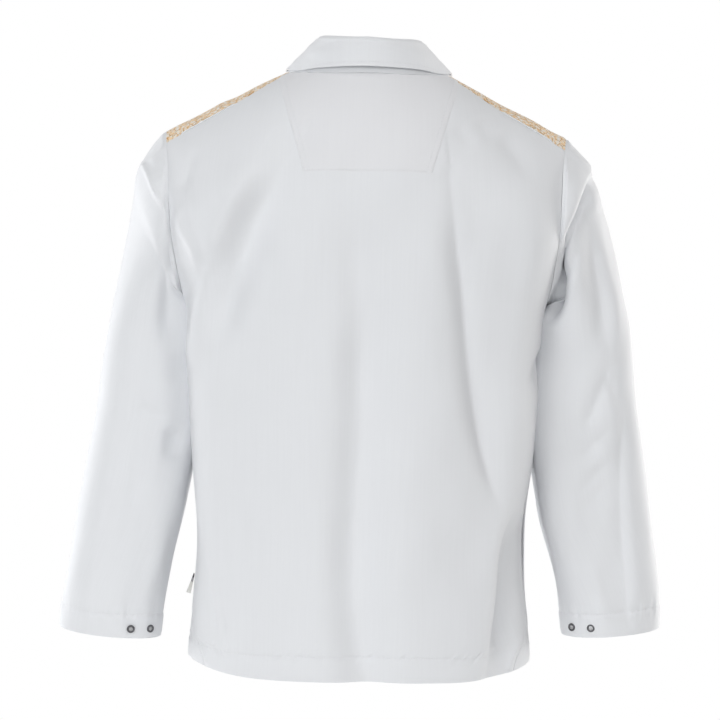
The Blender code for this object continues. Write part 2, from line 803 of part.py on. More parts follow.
def make_stud(name, sign, angle):
    """A turned ring with a socket in its face, standing on the back of the cuff."""
    last = sleeve_point(sign, SLEEVE_LAST, angle)
    before = sleeve_point(sign, SLEEVE_LAST - 1, angle)
    ring = SLEEVE_LAST - STUD_ABOVE_HEM / (last - before).length
    place = sleeve_point(sign, ring, angle)
    normal = sleeve_normal(sign, ring, angle)
    profile = (
        (STUD_RADIUS, 0.0),
        (STUD_RADIUS, STUD_HEIGHT * 0.55),
        (STUD_RADIUS - STUD_RIM, STUD_HEIGHT),
        (STUD_SOCKET_RADIUS, STUD_HEIGHT),
        (STUD_SOCKET_RADIUS, STUD_HEIGHT - STUD_SOCKET_DEPTH),
    )
    points = []
    for radius, height in profile:
        for i in range(STUD_SIDES):
            turn = 2 * math.pi * i / STUD_SIDES
            points.append((radius * math.cos(turn), radius * math.sin(turn), height))
    faces = grid_faces(len(profile), STUD_SIDES, ring=True)
    top = (len(profile) - 1) * STUD_SIDES
    faces.append(tuple(range(STUD_SIDES))[::-1])
    faces.append(tuple(top + i for i in range(STUD_SIDES)))
    stud = mesh_object(name, points, faces, GUNMETAL, roughness=0.35, metallic=1.0)
    stud.rotation_mode = "QUATERNION"
    stud.rotation_quaternion = normal.to_track_quat("Z", "Y")
    stud.location = place + normal * (2 * GAP)


def make_label():
    """A blank tape in the left side seam, turned to the back."""
    rows = []
    for z in (LABEL_TOP_Z, LABEL_TOP_Z - LABEL_HEIGHT):
        row = []
        for share in (1.0, 0.5, 0.0):
            x = half_width(z) - LABEL_TUCK * (1 - share)
            y = LABEL_FROM_SEAM + LABEL_WIDTH * share
            across = (1 - (y / back_depth(z)) ** SQUARENESS) ** (1 / SQUARENESS)
            row.append(Vector((x * across + LABEL_STAND_OFF, y, z)))
        rows.append(row)
    grid_object("side_label", rows, TAPE, LABEL_CLOTH, flip=False)


def main():
    for obj in list(bpy.data.objects):
        bpy.data.objects.remove(obj, do_unlink=True)
    back_rows = make_back()
    make_front()
    make_neck_panel(back_rows)
    for name, sign in (("left", 1), ("right", -1)):
        make_yoke(f"shoulder_yoke_{name}", sign)
        make_sleeve(f"sleeve_{name}", sign)
        for place, angle in STUD_ANGLES:
            make_stud(f"cuff_stud_{name}_{place}", sign, angle)
    make_collar_stand()
    make_collar_fall()
    make_label()


main()
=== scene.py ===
"""The looks of the pullover tunic: white work cloth with patterned shoulder yokes.

Each piece of cloth is a thin shell on the form that the part's solids have. The same formulas
give a dense grid of points, creases and seams raise or lower it along its normals, and
stitches, studs and the label lie on the result. Metres, in the part's own frame: +X is the wearer's
left, -Y the front and +Z up.
"""

import math
from bisect import bisect_right
from functools import lru_cache

import bpy
import numpy as np
from mathutils import Matrix, Quaternion, Vector


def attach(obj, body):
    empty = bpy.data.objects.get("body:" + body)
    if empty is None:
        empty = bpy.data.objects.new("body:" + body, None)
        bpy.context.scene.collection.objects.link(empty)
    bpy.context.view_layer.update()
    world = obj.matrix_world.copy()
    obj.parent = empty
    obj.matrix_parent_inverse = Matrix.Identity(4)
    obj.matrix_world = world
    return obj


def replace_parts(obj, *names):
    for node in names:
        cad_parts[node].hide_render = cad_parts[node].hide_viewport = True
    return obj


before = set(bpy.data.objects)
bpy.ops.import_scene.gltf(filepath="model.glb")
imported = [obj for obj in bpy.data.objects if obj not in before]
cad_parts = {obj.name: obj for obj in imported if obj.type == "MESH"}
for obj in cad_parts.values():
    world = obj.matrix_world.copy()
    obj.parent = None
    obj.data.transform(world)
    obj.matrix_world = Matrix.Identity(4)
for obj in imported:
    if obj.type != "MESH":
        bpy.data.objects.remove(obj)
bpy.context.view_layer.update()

# The camera

CAMERA_PLACE = (0.005, 2.4, -0.36)
CAMERA_LENS = 96
CAMERA_ROLL = math.radians(1.0)

camera = bpy.data.objects.new("camera", bpy.data.cameras.new("camera"))
bpy.context.scene.collection.objects.link(camera)
camera.data.lens = CAMERA_LENS
camera.location = CAMERA_PLACE
facing_front = Quaternion((0, 0, 1), math.pi) @ Quaternion((1, 0, 0), math.pi / 2)
camera.rotation_mode = "QUATERNION"
camera.rotation_quaternion = facing_front @ Quaternion((0, 0, 1), CAMERA_ROLL)
bpy.context.scene.camera = camera

# The form, with the part's own sizes

# Cloth and seams
CLOTH = 0.0012
TURNED_HEM = 0.0024
COLLAR_CLOTH = 0.0015
GAP = 0.0003
ARMHOLE_GAP = 0.00005
SEAM_DIP = 0.00035
SEAM_REACH = 0.0016
CUT_EDGE_ANGLE = math.radians(50)  # a piece's cut edge is sharper than this, so it shades sharply

# Heights on the trunk
HEM_Z = -0.744
HEM_CORNER_RISE = 0.016
HEM_CORNER_START = 0.3  # of the way round from the middle to the side
VENT_TOP_Z = -0.670
UNDERARM_Z = -0.285
HEM_DEPTH = 0.030

# Shoulder line: it falls from the neck to the tip with a soft crown over the neck
SHOULDER_CROWN_Z = 0.057
SHOULDER_FALL = 0.529
SHOULDER_CROWN_WIDTH = 0.050
TIP_X = 0.2505

# Neck hole, seen from above
NECK_HALF_WIDTH = 0.103
NECK_BACK_DEPTH = 0.077
NECK_FRONT_DEPTH = 0.080

# Yoke seams: angle round the neck hole, and the drop below the ridge at the armhole
YOKE_BACK_ANGLE = math.radians(72)
YOKE_FRONT_ANGLE = math.radians(125)
YOKE_BACK_DROP = 0.0195
YOKE_BACK_BOW = 0.004
YOKE_FRONT_DROP = 0.055

# Neck panel on the back: half widths and the height of its lower edge
PANEL_TOP_HALF = 0.112
PANEL_BOTTOM_HALF = 0.0775
PANEL_BOTTOM_Z = -0.136
ARMHOLE_MIDDLE_Z = -0.185

# Front slit
SLIT_TOP_HALF = 0.024
SLIT_BOTTOM_HALF = 0.0008
SLIT_TOP_Z = -0.074

# Side vents: below the side seam the front's cloth turns back round the hip to meet the back's
VENT_TURN = math.radians(29)
VENT_SLIT = math.radians(0.4)

# How far below the ridge the trunk takes to reach its full depth, at the neck and at the tip
BACK_REACH = (0.17, 0.15)
FRONT_REACH = (0.30, 0.16)
BACK_ROUNDNESS = (2.0, 2.0)
FRONT_ROUNDNESS = (1.5, 2.0)
REACH_WIDTH = 0.2

SQUARENESS = 2.2  # 2 is an ellipse
# Height, half width, depth of the back and depth of the front
BODY_SECTIONS = (
    (-0.760, 0.2150, 0.121, 0.133),
    (-0.690, 0.2100, 0.121, 0.133),
    (-0.625, 0.2050, 0.121, 0.133),
    (-0.560, 0.2050, 0.121, 0.133),
    (-0.490, 0.2125, 0.122, 0.134),
    (-0.400, 0.2180, 0.124, 0.135),
    (-0.330, 0.2215, 0.126, 0.136),
    (-0.285, 0.2270, 0.127, 0.136),
    (-0.240, 0.2500, 0.127, 0.135),
    (-0.180, 0.2850, 0.127, 0.133),
    (-0.080, 0.3050, 0.122, 0.130),
    (0.000, 0.3050, 0.116, 0.128),
    (0.060, 0.3050, 0.112, 0.126),
)

# Height, and how far out the armhole lies there on the back and on the front
ARMHOLE = (
    (-0.285, 0.2270, 0.2270),
    (-0.270, 0.2290, 0.2245),
    (-0.245, 0.2325, 0.2205),
    (-0.210, 0.2375, 0.2190),
    (-0.165, 0.2410, 0.2225),
    (-0.120, 0.2440, 0.2330),
    (-0.095, 0.2480, 0.2430),
    (-0.0781, 0.2505, 0.2505),
    (-0.060, 0.2510, 0.2510),
)

# Rings of the left sleeve from the armhole to the cuff, seen from behind
SLEEVE_COLUMNS = ("outer_x", "outer_z", "inner_x", "inner_z", "middle_y", "half_depth")
SLEEVE_RINGS = (
    (0.2508, -0.0781, 0.2273, -0.2850, -0.008, 0.070),
    (0.2690, -0.0985, 0.2315, -0.2860, -0.010, 0.073),
    (0.2870, -0.1290, 0.2310, -0.2895, -0.015, 0.075),
    (0.2930, -0.1660, 0.2272, -0.2980, -0.024, 0.077),
    (0.3030, -0.2150, 0.2224, -0.3130, -0.034, 0.077),
    (0.3170, -0.2850, 0.2181, -0.3400, -0.042, 0.075),
    (0.3270, -0.3450, 0.2148, -0.3790, -0.046, 0.072),
    (0.3365, -0.4160, 0.2140, -0.4380, -0.048, 0.067),
    (0.3465, -0.4780, 0.2225, -0.4960, -0.048, 0.061),
    (0.3580, -0.5450, 0.2330, -0.5590, -0.048, 0.055),
    (0.3695, -0.6160, 0.2425, -0.6290, -0.047, 0.048),
    (0.3777, -0.6680, 0.2500, -0.6800, -0.046, 0.043),
    (0.3817, -0.7025, 0.2525, -0.7140, -0.045, 0.040),
)
SLEEVE_LAST = len(SLEEVE_RINGS) - 1
ARMHOLE_FADE = 3.0  # rings over which the armhole's outline becomes an ellipse
CUFF_BACK_DIP = 0.10  # the cuff's plane falls this much towards the back
ELBOW_RING = 5
CUFF_DIP_RINGS = 5  # rings below the elbow over which that fall grows

# The right arm hangs a little higher and further out at the elbow than the left
RIGHT_BOW = 0.011
RIGHT_BOW_START = 2.0
RIGHT_BOW_POWER = 0.75
RIGHT_LIFT = 0.011
RIGHT_CUFF_NARROWER = 0.005

# The right shoulder sits a little lower half way along, and its tip a little further in
RIGHT_DROP = 0.0042
RIGHT_DROP_X = 0.165
RIGHT_DROP_REACH = 0.065
RIGHT_DROP_FROM_Z = -0.25
RIGHT_DROP_FADE = 0.12
RIGHT_IN = 0.0050
RIGHT_IN_REACH = 0.035
RIGHT_IN_FROM_Z = -0.30
RIGHT_IN_FADE = 0.15

# Collar, by the angle round the neck from the centre back
COLLAR_END_ANGLE = math.radians(160)
FOLD_HALF_WIDTH = 0.0640
FOLD_BACK_DEPTH = 0.070
FOLD_FRONT_DEPTH = 0.074
FOLD_BACK_Z = 0.0290
FOLD_SIDE_Z = 0.0355
FOLD_LEAN = 0.028  # the fold's slope from the wearer's left down to the right
FOLD_SHIFT = -0.0015  # the collar's top leans a little to the wearer's right
FOLD_SQUARENESS = 2.5
FOLD_FRONT_Z = -0.034
FOLD_ROLL = 0.0018
ROLL_STEPS = ((0.0, 1.0), (0.75, 1.15))  # out and up from the fold line, in rolls
ROLL_END = (2.2, -0.5)
LEAF_SIDE_X = 0.1030
LEAF_BACK_Y = 0.0855
LEAF_BACK_Z = -0.0045
LEAF_POINT_X = 0.066
LEAF_POINT_Y = -0.112
LEAF_CLEARANCE = 0.0040
LEAF_CURVE = 1.6
LEAF_HANGS_TO = math.radians(40)
LEAF_RESTS_FROM = math.radians(80)
LEAF_BULGE = 0.001
LEAF_OFF_STAND = 0.0031

# Press studs, and their places round the cuff
STUD_ABOVE_HEM = 0.0130
STUD_ANGLES = (("outer", math.radians(117)), ("inner", math.radians(144)))
STUD_LIFT = 0.0004
STUD_SIDES = 40
STUD_PROFILE = (  # radius and height, from the foot of the ring to the ball's middle
    (0.00480, 0.0),
    (0.00500, 0.00030),
    (0.00500, 0.00110),
    (0.00485, 0.00165),
    (0.00450, 0.00200),
    (0.00400, 0.00220),
    (0.00345, 0.00215),
    (0.00300, 0.00190),
    (0.00270, 0.00150),
    (0.00262, 0.00110),
    (0.00200, 0.00105),
    (0.00140, 0.00125),
    (0.00080, 0.00155),
    (0.00030, 0.00168),
)
STUD_SOCKET_RING = 9  # of the profile, where the socket starts
STUD_SHARP = math.radians(50)

# Tape label in the left side seam
LABEL_TOP_Z = -0.629
LABEL_HEIGHT = 0.024
LABEL_WIDTH = 0.013
LABEL_CLOTH = 0.0009
LABEL_STAND_OFF = 0.0018
LABEL_FROM_SEAM = 0.004
LABEL_TUCK = 0.0008
LABEL_ROWS = 14
LABEL_COLUMNS = 10
LABEL_CURL = 0.0010
LABEL_SWING = 0.0085
LABEL_CURL_SHIFT = 0.15
LABEL_TOP_SWING = 0.2  # of the swing at the foot
LABEL_FOLD_SWING = 0.6  # less, at the fold

# How the forms are worked out
NORMAL_STEP = 0.01  # of a ring, or of an angle
SEARCH_DEPTH = 0.16  # below the ridge, to find the surface over a point of the plan
HALVINGS = 40
ARMHOLE_ROUNDS = 6
MIDDLE_CROWDING = 1.7  # rows lie closer together near the underarm
MIDDLE_SPREAD = 0.35  # the back's columns at the row of the neck panel's lower edge

# Stitch lines: distances from the edges
EDGE_LINE = 0.0035
CAP_LINE = 0.0045
VENT_LINE = 0.007
PANEL_EDGE_LINE = 0.0016
PANEL_LINE = 0.0078
COLLAR_LINE = 0.0055

# How the cloth's surface differs from its plain form
PANEL_SHOWN = 0.0003  # how far the neck panel stands out from the back
TRUNK_CORNERS = 0.010
CORNER_AT = 0.87  # of the half width
CORNER_WIDTH = 0.11
SIDE_FADE = 0.03
# Heights where the corners start, are full, fade and end
LEFT_CORNER_HEIGHTS = (-0.70, -0.55, -0.40, -0.25)
RIGHT_CORNER_HEIGHTS = (-0.70, -0.55, -0.28, -0.10)
FLANK_FADE = 0.03
VENT_FADE = 0.04
TURNED_SPAN = (-0.01, 0.02)  # from the plane y = 0, where the front's flap has turned past it
HELD_FADE = 0.02
HELD_SIDE = 0.010
HELD_TOP = 0.018
HELD_SHARE = 0.9  # of the relief that is lost where the cloth is held
SLEEVE_SQUARENESS = 3.0
SLEEVE_RADIUS = 0.055
# The same for a sleeve, as depths below z = 0
OUTER_CORNER_DEPTHS = (0.20, 0.36, 0.62, 0.70)
LEFT_INNER_DEPTHS = (0.27, 0.33, 0.62, 0.70)
RIGHT_INNER_DEPTHS = (0.34, 0.42, 0.62, 0.70)
ARM_FOLD_ANGLE = 0.58  # from the sleeve's inner side to a fold behind it and one before it
ARM_FOLD_WIDTH = 0.42
ARM_FOLD_FADE = 0.045
ARM_FOLD_END = (0.54, 0.66)
LEFT_ARM_FOLD = (0.22, 0.012)  # the depth where the folds start, and their height
RIGHT_ARM_FOLD = (0.270, 0.015)
ARM_REST_HEIGHT = 0.0011
ARM_REST_WIDTH = 0.5
ARM_REST_DEPTHS = (0.275, 0.292, 0.315, 0.345)
SIDE_BLEND = (-0.15, 0.35)  # of the normal's backward part, from the front's creases to the back's
CAP_SHARE = 0.15  # of the relief that is left at the sleeve's seam
CAP_TURN_IN = 0.007
WEDGE_TURN_IN = 0.004  # less, in the right underarm's deep fold
WEDGE_DEPTHS = (0.200, 0.225, 0.285, 0.310)
CAP_ROLL_AT = 0.006
CUFF_SHARE = 0.3
COLLAR_BLEND = (0.2, 0.8)
STAND_FOOT = 0.0010  # how far the collar's stand reaches down past its seam
STAND_FOOT_OUT = 0.0009
STAND_FOOT_REACH = 0.005
STAND_FOOT_DOUBLED = 0.003
FALL_TUCK = 0.0024
PLAIN_BY_SEAM = 0.012  # the width beside a seam over which the cloth gets its unevenness
HEM_BAND_RISE = 0.0008
HEM_BAND_SPAN = (0.001, 0.006)
HEM_EDGE = 0.006
WAVES = 18
WAVE_PITCHES = (0.6, 1.7)
WAVES_ACROSS = 1.6
WAVES_DOWN = 0.7
PUCKER_WAVES = 7
PUCKER_PITCHES = (0.6, 2.2)
PUCKER_FADE = 0.4
PUCKER_SWELLS = 11  # pitches from one swell of the ripples to the next

# Sizes of the dense grids and of what lies on them
SLEEVE_REACH = 0.414  # of the sleeve, if all its rings lay as far apart as those at the cuff
PANEL_COLUMNS = 26
OUTER_COLUMNS = 78
LOWER_ROWS = 112
MIDDLE_ROWS = 42
UPPER_ROWS = 34
SLEEVE_AROUND = 216
SLEEVE_ROWS = 194
YOKE_ACROSS = 26
YOKE_ALONG = 66
COLLAR_AROUND = 170
STAND_ROWS = 10
ROLL_ROWS = 6
LEAF_ROWS = 22
FINE_STEPS = (0.25, 0.6)
LINE_OFFSETS = (-0.0024, -0.0010, 0.0, 0.0010, 0.0024)

# Stitches
STITCH_PITCH = 0.0034
STITCH_LENGTH = 0.0026
STITCH_WIDTH = 0.0006
STITCH_RISE = 0.00025
STITCH_SECTIONS = ((-0.2, 0.5), (1.0, 1.0), (-0.2, 0.5))  # rise and width of its ends and middle
STITCH_CROWN = 0.7

# Creases, as (depth, left, right, sharp, start, end, path). A ridge has a positive depth and a
# trough a negative one. left and right are the widths of its two sides as seen from behind, and
# the path of (x, z) runs down, all in millimetres. sharp runs from a rounded crease to a pressed
# one. start and end are the shares of the depth left at the path's two ends.
MILLIMETRES = 1000
CREASE_EDGE = 0.0012
CREASE_STRENGTH = 1.6
CREASE_TAPER = 0.35  # of the path, at each end
CREASE_REACH = 3  # widths
PATH_POINTS = 30
BACK_CREASES = (
    (-10.0, 20, 32, 0.1, 0.4, 0.1, (
        (90, -106), (110, -150), (132, -190), (150, -235), (168, -285), (181, -340), (196, -400))),
    (8.0, 34, 18, 0.1, 0.1, 0.0, ((134, -122), (154, -160), (170, -195), (181, -230), (190, -262))),
    (6.5, 14, 17, 0.1, 0.0, 0.1, ((188, -240), (195, -290), (202, -340), (210, -385))),
    (-11.5, 25, 36, 0.1, 0.1, 0.8, (
        (24, -150), (13, -206), (6, -289), (3, -384), (3, -455), (7, -527), (9, -598), (3, -670),
        (-4, -717), (-12, -744))),
    (-9.5, 15, 30, 0.9, 0.4, 0.1, (
        (-99, -140), (-105, -185), (-110, -227), (-118, -274), (-125, -334), (-133, -393), (-142, -441),
        (-153, -488), (-164, -530), (-172, -556))),
    (1.0, 26, 14, 0.0, 0.1, 0.1, (
        (-80, -186), (-91, -263), (-101, -334), (-108, -394), (-118, -453), (-133, -505))),
    (-1.2, 14, 18, 0.1, 0.1, 0.1, ((-112, -125), (-124, -165), (-134, -210), (-138, -255))),
    (-1.3, 12, 18, 0.2, 0.0, 0.0, ((-104, -70), (-115, -87), (-129, -106))),
    (-1.3, 10, 18, 0.2, 0.0, 0.0, ((-131, -60), (-141, -77), (-152, -100))),
    (-2.6, 15, 22, 0.1, 0.0, 0.0, ((-156, -74), (-179, -104), (-204, -144))),
    (3.4, 28, 4, 0.5, 0.0, 0.3, (
        (-180, -522), (-171, -561), (-167, -597), (-168, -645), (-164, -687), (-150, -735))),
    (-6.5, 8, 13, 0.3, 0.1, 0.3, (
        (-186, -522), (-177, -561), (-173, -597), (-174, -645), (-170, -687), (-156, -735))),
    (-11.5, 17, 14, 0.2, 0.1, 0.2, (
        (-200, -540), (-186, -580), (-182, -645), (-178, -700), (-168, -740))),
    (-4.2, 9, 12, 0.3, 0.0, 0.0, ((-225, -340), (-210, -366), (-198, -400))),
    (2.2, 9, 6, 0.6, 0.1, 0.5, (
        (196, -515), (187, -575), (178, -632), (172, -675), (174, -705), (180, -728))),
    (-1.8, 14, 8, 0.3, 0.1, 0.3, ((186, -560), (177, -620), (165, -680), (163, -720))),
    (3.0, 6, 7, 0.3, 0.1, 0.2, ((230, -172), (221, -203), (206, -232), (207, -262))),
    (-1.8, 9, 8, 0.2, 0.0, 0.0, ((208, -102), (217, -136), (222, -166))),
)
COLLAR_CREASES = (
    (1.4, 16, 26, 0.6, 0.7, 0.7, ((3, 56), (2, 30), (1, 4))),
    (-0.8, 12, 10, 0.2, 0.5, 0.5, ((-34, 52), (-40, 28), (-46, 4))),
)
FRONT_CREASES = (
    (-6.5, 42, 14, 0.7, 0.1, 0.1, (
        (98, -150), (108, -230), (118, -310), (134, -400), (156, -480), (178, -535))),
    (-4.5, 40, 22, 0.2, 0.1, 0.1, (
        (-112, -130), (-134, -190), (-154, -260), (-172, -340), (-190, -410))),
    (-3.0, 24, 32, 0.5, 0.0, 0.8, ((-20, -330), (-26, -430), (-21, -540), (-14, -640), (-6, -739))),
    (3.0, 6, 26, 0.6, 0.0, 0.8, ((184, -540), (172, -610), (166, -680), (156, -732))),
    (-4.5, 14, 12, 0.2, 0.1, 0.7, ((198, -560), (186, -640), (174, -730))),
    (2.2, 8, 6, 0.6, 0.1, 0.5, ((-192, -540), (-181, -620), (-176, -700))),
    (-2.2, 9, 6, 0.5, 0.0, 0.0, ((118, -92), (131, -112), (141, -133))),
    (-2.4, 12, 9, 0.3, 0.0, 0.0, ((158, -98), (178, -122), (198, -152))),
    (-2.0, 8, 8, 0.2, 0.0, 0.0, ((-150, -100), (-166, -130), (-182, -168))),
    (-1.6, 8, 12, 0.3, 0.0, 0.0, ((60, -262), (46, -300), (41, -350))),
    (-2.4, 12, 9, 0.3, 0.0, 0.0, ((222, -338), (208, -362), (196, -398))),
)
# A ridge and its crest, along one fold at the sleeve's cap
CAP_FOLD = ((273, -127), (263, -143), (254, -162), (244, -180), (233, -196), (222, -212))
LEFT_SLEEVE_CREASES = (
    (9.0, 9, 8, 0.0, 0.1, 0.3, ((229, -248), (226, -268), (224, -288), (223, -312))),
    (4.0, 18, 12, 1.0, 0.6, 0.2, CAP_FOLD),
    (1.4, 4, 5, 0.5, 0.1, 0.1, ((246, -95), (258, -112), (270, -124))),
    (1.5, 3, 3, 0.3, 0.8, 0.4, CAP_FOLD),
    (3.0, 9, 12, 0.1, 0.2, 0.2, ((222, -255), (222, -300), (222, -350), (220, -410))),
    (-9.0, 16, 10, 0.2, 0.3, 0.0, (
        (222, -210), (226, -240), (232, -270), (238, -300), (243, -330), (246, -365))),
    (-2.0, 10, 9, 0.1, 0.0, 0.0, ((228, -345), (233, -370), (238, -400))),
    (-3.6, 11, 10, 0.1, 0.0, 0.0, ((235, -440), (241, -468), (242, -500))),
    (1.8, 12, 9, 0.2, 0.0, 0.0, ((252, -430), (256, -465), (252, -500))),
    (-1.6, 12, 8, 0.4, 0.0, 0.0, ((286, -412), (266, -428), (248, -444))),
    (2.2, 22, 26, 0.5, 0.1, 0.8, (
        (283, -315), (292, -365), (301, -427), (312, -502), (324, -576), (335, -651), (342, -705))),
    (-1.6, 14, 14, 0.3, 0.0, 0.5, ((262, -540), (270, -610), (280, -705))),
)
RIGHT_SLEEVE_CREASES = (
    (3.4, 22, 3, 0.1, 0.7, 0.7, ((-273, -122), (-267, -139), (-257, -165), (-247, -190), (-238, -207))),
    (-15.0, 4, 12, 0.7, 0.4, 0.1, (
        (-276, -136), (-268, -155), (-260, -178), (-250, -202), (-244.5, -222), (-241, -240),
        (-239, -260))),
    (-20.0, 4, 6, 0.6, 0.3, 0.0, ((-246, -214), (-241.5, -245), (-237.5, -278), (-234.5, -318))),
    (1.8, 5, 6, 0.7, 0.4, 0.2, ((-247, -95), (-259, -110), (-272, -123))),
    (1.8, 4, 8, 0.6, 0.0, 0.0, ((-270, -132), (-279, -153), (-287, -176))),
    (3.0, 14, 16, 0.2, 0.1, 0.0, ((-262, -224), (-254, -262), (-248, -320), (-248, -380))),
    (-4.2, 16, 9, 0.2, 0.1, 0.2, (
        (-270, -160), (-277, -195), (-284, -234), (-292, -281), (-298, -324), (-302, -361))),
    (2.4, 14, 24, 0.5, 0.1, 0.1, ((-290, -187), (-300, -243), (-309, -305), (-316, -367))),
    (-2.4, 12, 9, 0.4, 0.1, 0.0, ((-303, -362), (-294, -395), (-283, -422), (-271, -445))),
    (-1.8, 7, 10, 0.5, 0.1, 0.0, ((-300, -372), (-312, -398), (-322, -419))),
    (-1.4, 9, 13, 0.4, 0.0, 0.0, ((-313, -430), (-300, -448), (-283, -466), (-266, -478))),
    (-1.6, 9, 14, 0.4, 0.0, 0.0, ((-313, -478), (-298, -491), (-280, -511), (-262, -537))),
    (-1.1, 9, 12, 0.4, 0.0, 0.0, ((-309, -503), (-289, -528), (-266, -546))),
    (-3.4, 15, 8, 0.7, 0.1, 0.4, (
        (-318, -398), (-321, -442), (-322, -504), (-325, -567), (-331, -629), (-337, -690))),
    (1.6, 14, 12, 0.4, 0.0, 0.6, ((-284, -600), (-299, -642), (-306, -700))),
)


def smooth_table(rows, column):
    """A smooth function through one column of a table whose first column rises."""
    keys = [row[0] for row in rows]
    values = [row[column] for row in rows]
    last = len(rows) - 1

    def slope(i):
        low = max(i - 1, 0)
        high = min(i + 1, last)
        return (values[high] - values[low]) / (keys[high] - keys[low])

    def value(at):
        at = min(max(at, keys[0]), keys[last])
        i = min(max(bisect_right(keys, at) - 1, 0), last - 1)
        step = keys[i + 1] - keys[i]
        u = (at - keys[i]) / step
        rise = values[i + 1] - values[i]
        start = slope(i) * step
        end = slope(i + 1) * step
        square = u * u * (3 * rise - 2 * start - end)
        cube = u**3 * (start + end - 2 * rise)
        return values[i] + u * start + square + cube

    return value


def numbered(rows):
    """The rows with their own number in front, as smooth_table's first column."""
    return [(float(i), *row) for i, row in enumerate(rows)]


half_width = smooth_table(BODY_SECTIONS, 1)
back_depth = smooth_table(BODY_SECTIONS, 2)
front_depth = smooth_table(BODY_SECTIONS, 3)
armhole_back_x = smooth_table(ARMHOLE, 1)
armhole_front_x = smooth_table(ARMHOLE, 2)
sleeve_value = {
    name: smooth_table(numbered(SLEEVE_RINGS), 1 + i) for i, name in enumerate(SLEEVE_COLUMNS)
}


def mix(a, b, t):
    return a + (b - a) * t


def ease(t):
    t = min(max(t, 0.0), 1.0)
    return t * t * (3 - 2 * t)


# The trunk


def ridge_z(x):
    return SHOULDER_CROWN_Z - SHOULDER_FALL * math.hypot(x, SHOULDER_CROWN_WIDTH)


def round_over(x, drop, side):
    """0 at the shoulder ridge to 1 where the trunk reaches its full depth."""
    outward = ease(abs(x) / REACH_WIDTH)
    reach = mix(*(BACK_REACH if side > 0 else FRONT_REACH), outward)
    power = mix(*(BACK_ROUNDNESS if side > 0 else FRONT_ROUNDNESS), outward)
    u = min(max(drop / reach, 0.0), 1.0)
    return (1 - (1 - u) ** power) ** (1 / power)


def body_depth(x, z, side):
    """How far the trunk reaches from the plane y = 0, at the back (side 1) or the front (side -1)."""
    across = min(abs(x) / half_width(z), 1.0)
    depth = back_depth(z) if side > 0 else front_depth(z)
    section = (1 - across**SQUARENESS) ** (1 / SQUARENESS)
    return depth * section * round_over(x, ridge_z(x) - z, side)


def body_point(x, z, side):
    return Vector((x, side * body_depth(x, z, side), z))


def height_at(x, y):
    """The height of the trunk's surface over a point of the plan, found by halving."""
    side = 1 if y >= 0 else -1
    high = ridge_z(x)
    low = high - SEARCH_DEPTH
    for _ in range(HALVINGS):
        middle = (high + low) / 2
        if body_depth(x, middle, side) < abs(y):
            high = middle
        else:
            low = middle
    return (high + low) / 2


@lru_cache(maxsize=None)
def neck_point(angle):
    """The neck hole's edge, by the angle from the centre back towards the wearer's left."""
    x = NECK_HALF_WIDTH * math.sin(angle)
    depth = NECK_BACK_DEPTH if math.cos(angle) >= 0 else NECK_FRONT_DEPTH
    y = depth * math.cos(angle)
    return Vector((x, y, height_at(x, y)))


def armhole_x(z, side):
    return armhole_back_x(z) if side > 0 else armhole_front_x(z)


@lru_cache(maxsize=None)
def armhole_end(drop, side):
    """The point of the armhole that lies this far below the ridge."""
    x = TIP_X
    for _ in range(ARMHOLE_ROUNDS):
        x = armhole_x(ridge_z(x) - drop, side)
    return x, ridge_z(x) - drop


# Yokes


@lru_cache(maxsize=None)
def yoke_seam(t, side):
    """(x, z) on a yoke seam, from the neck (t = 0) to the armhole (t = 1)."""
    start = neck_point(YOKE_BACK_ANGLE if side > 0 else YOKE_FRONT_ANGLE)
    end_drop = YOKE_BACK_DROP if side > 0 else YOKE_FRONT_DROP
    end_x, _ = armhole_end(end_drop, side)
    x = mix(start.x, end_x, t)
    start_drop = ridge_z(start.x) - start.z
    bow = YOKE_BACK_BOW * math.sin(math.pi * t) if side > 0 else 0.0
    return x, ridge_z(x) - mix(start_drop, end_drop, t) - bow


def yoke_point(along, across):
    """along runs from the neck (0) to the armhole (1), across from the front (-1) to the back (1)."""
    side = 1 if across >= 0 else -1
    seam_angle = YOKE_BACK_ANGLE if side > 0 else YOKE_FRONT_ANGLE
    neck = neck_point(mix(math.pi / 2, seam_angle, abs(across)))
    neck_drop = ridge_z(neck.x) - neck.z
    seam_x, seam_z = yoke_seam(along, side)
    seam_drop = ridge_z(seam_x) - seam_z
    seam_start_drop = ridge_z(neck_point(seam_angle).x) - neck_point(seam_angle).z
    drop = across**2 * seam_drop + (1 - along) * (neck_drop - across**2 * seam_start_drop)
    end_x, _ = armhole_end(across**2 * (YOKE_BACK_DROP if side > 0 else YOKE_FRONT_DROP), side)
    x = mix(neck.x, end_x, along)
    return body_point(x, ridge_z(x) - drop, side)


# Back and front


def section_share(angle):
    """How far across the trunk's section an angle from its centre reaches, 0 to 1."""
    return max(math.sin(angle), 0.0) ** (2 / SQUARENESS)


def section_angle(share):
    return math.asin(share ** (SQUARENESS / 2))


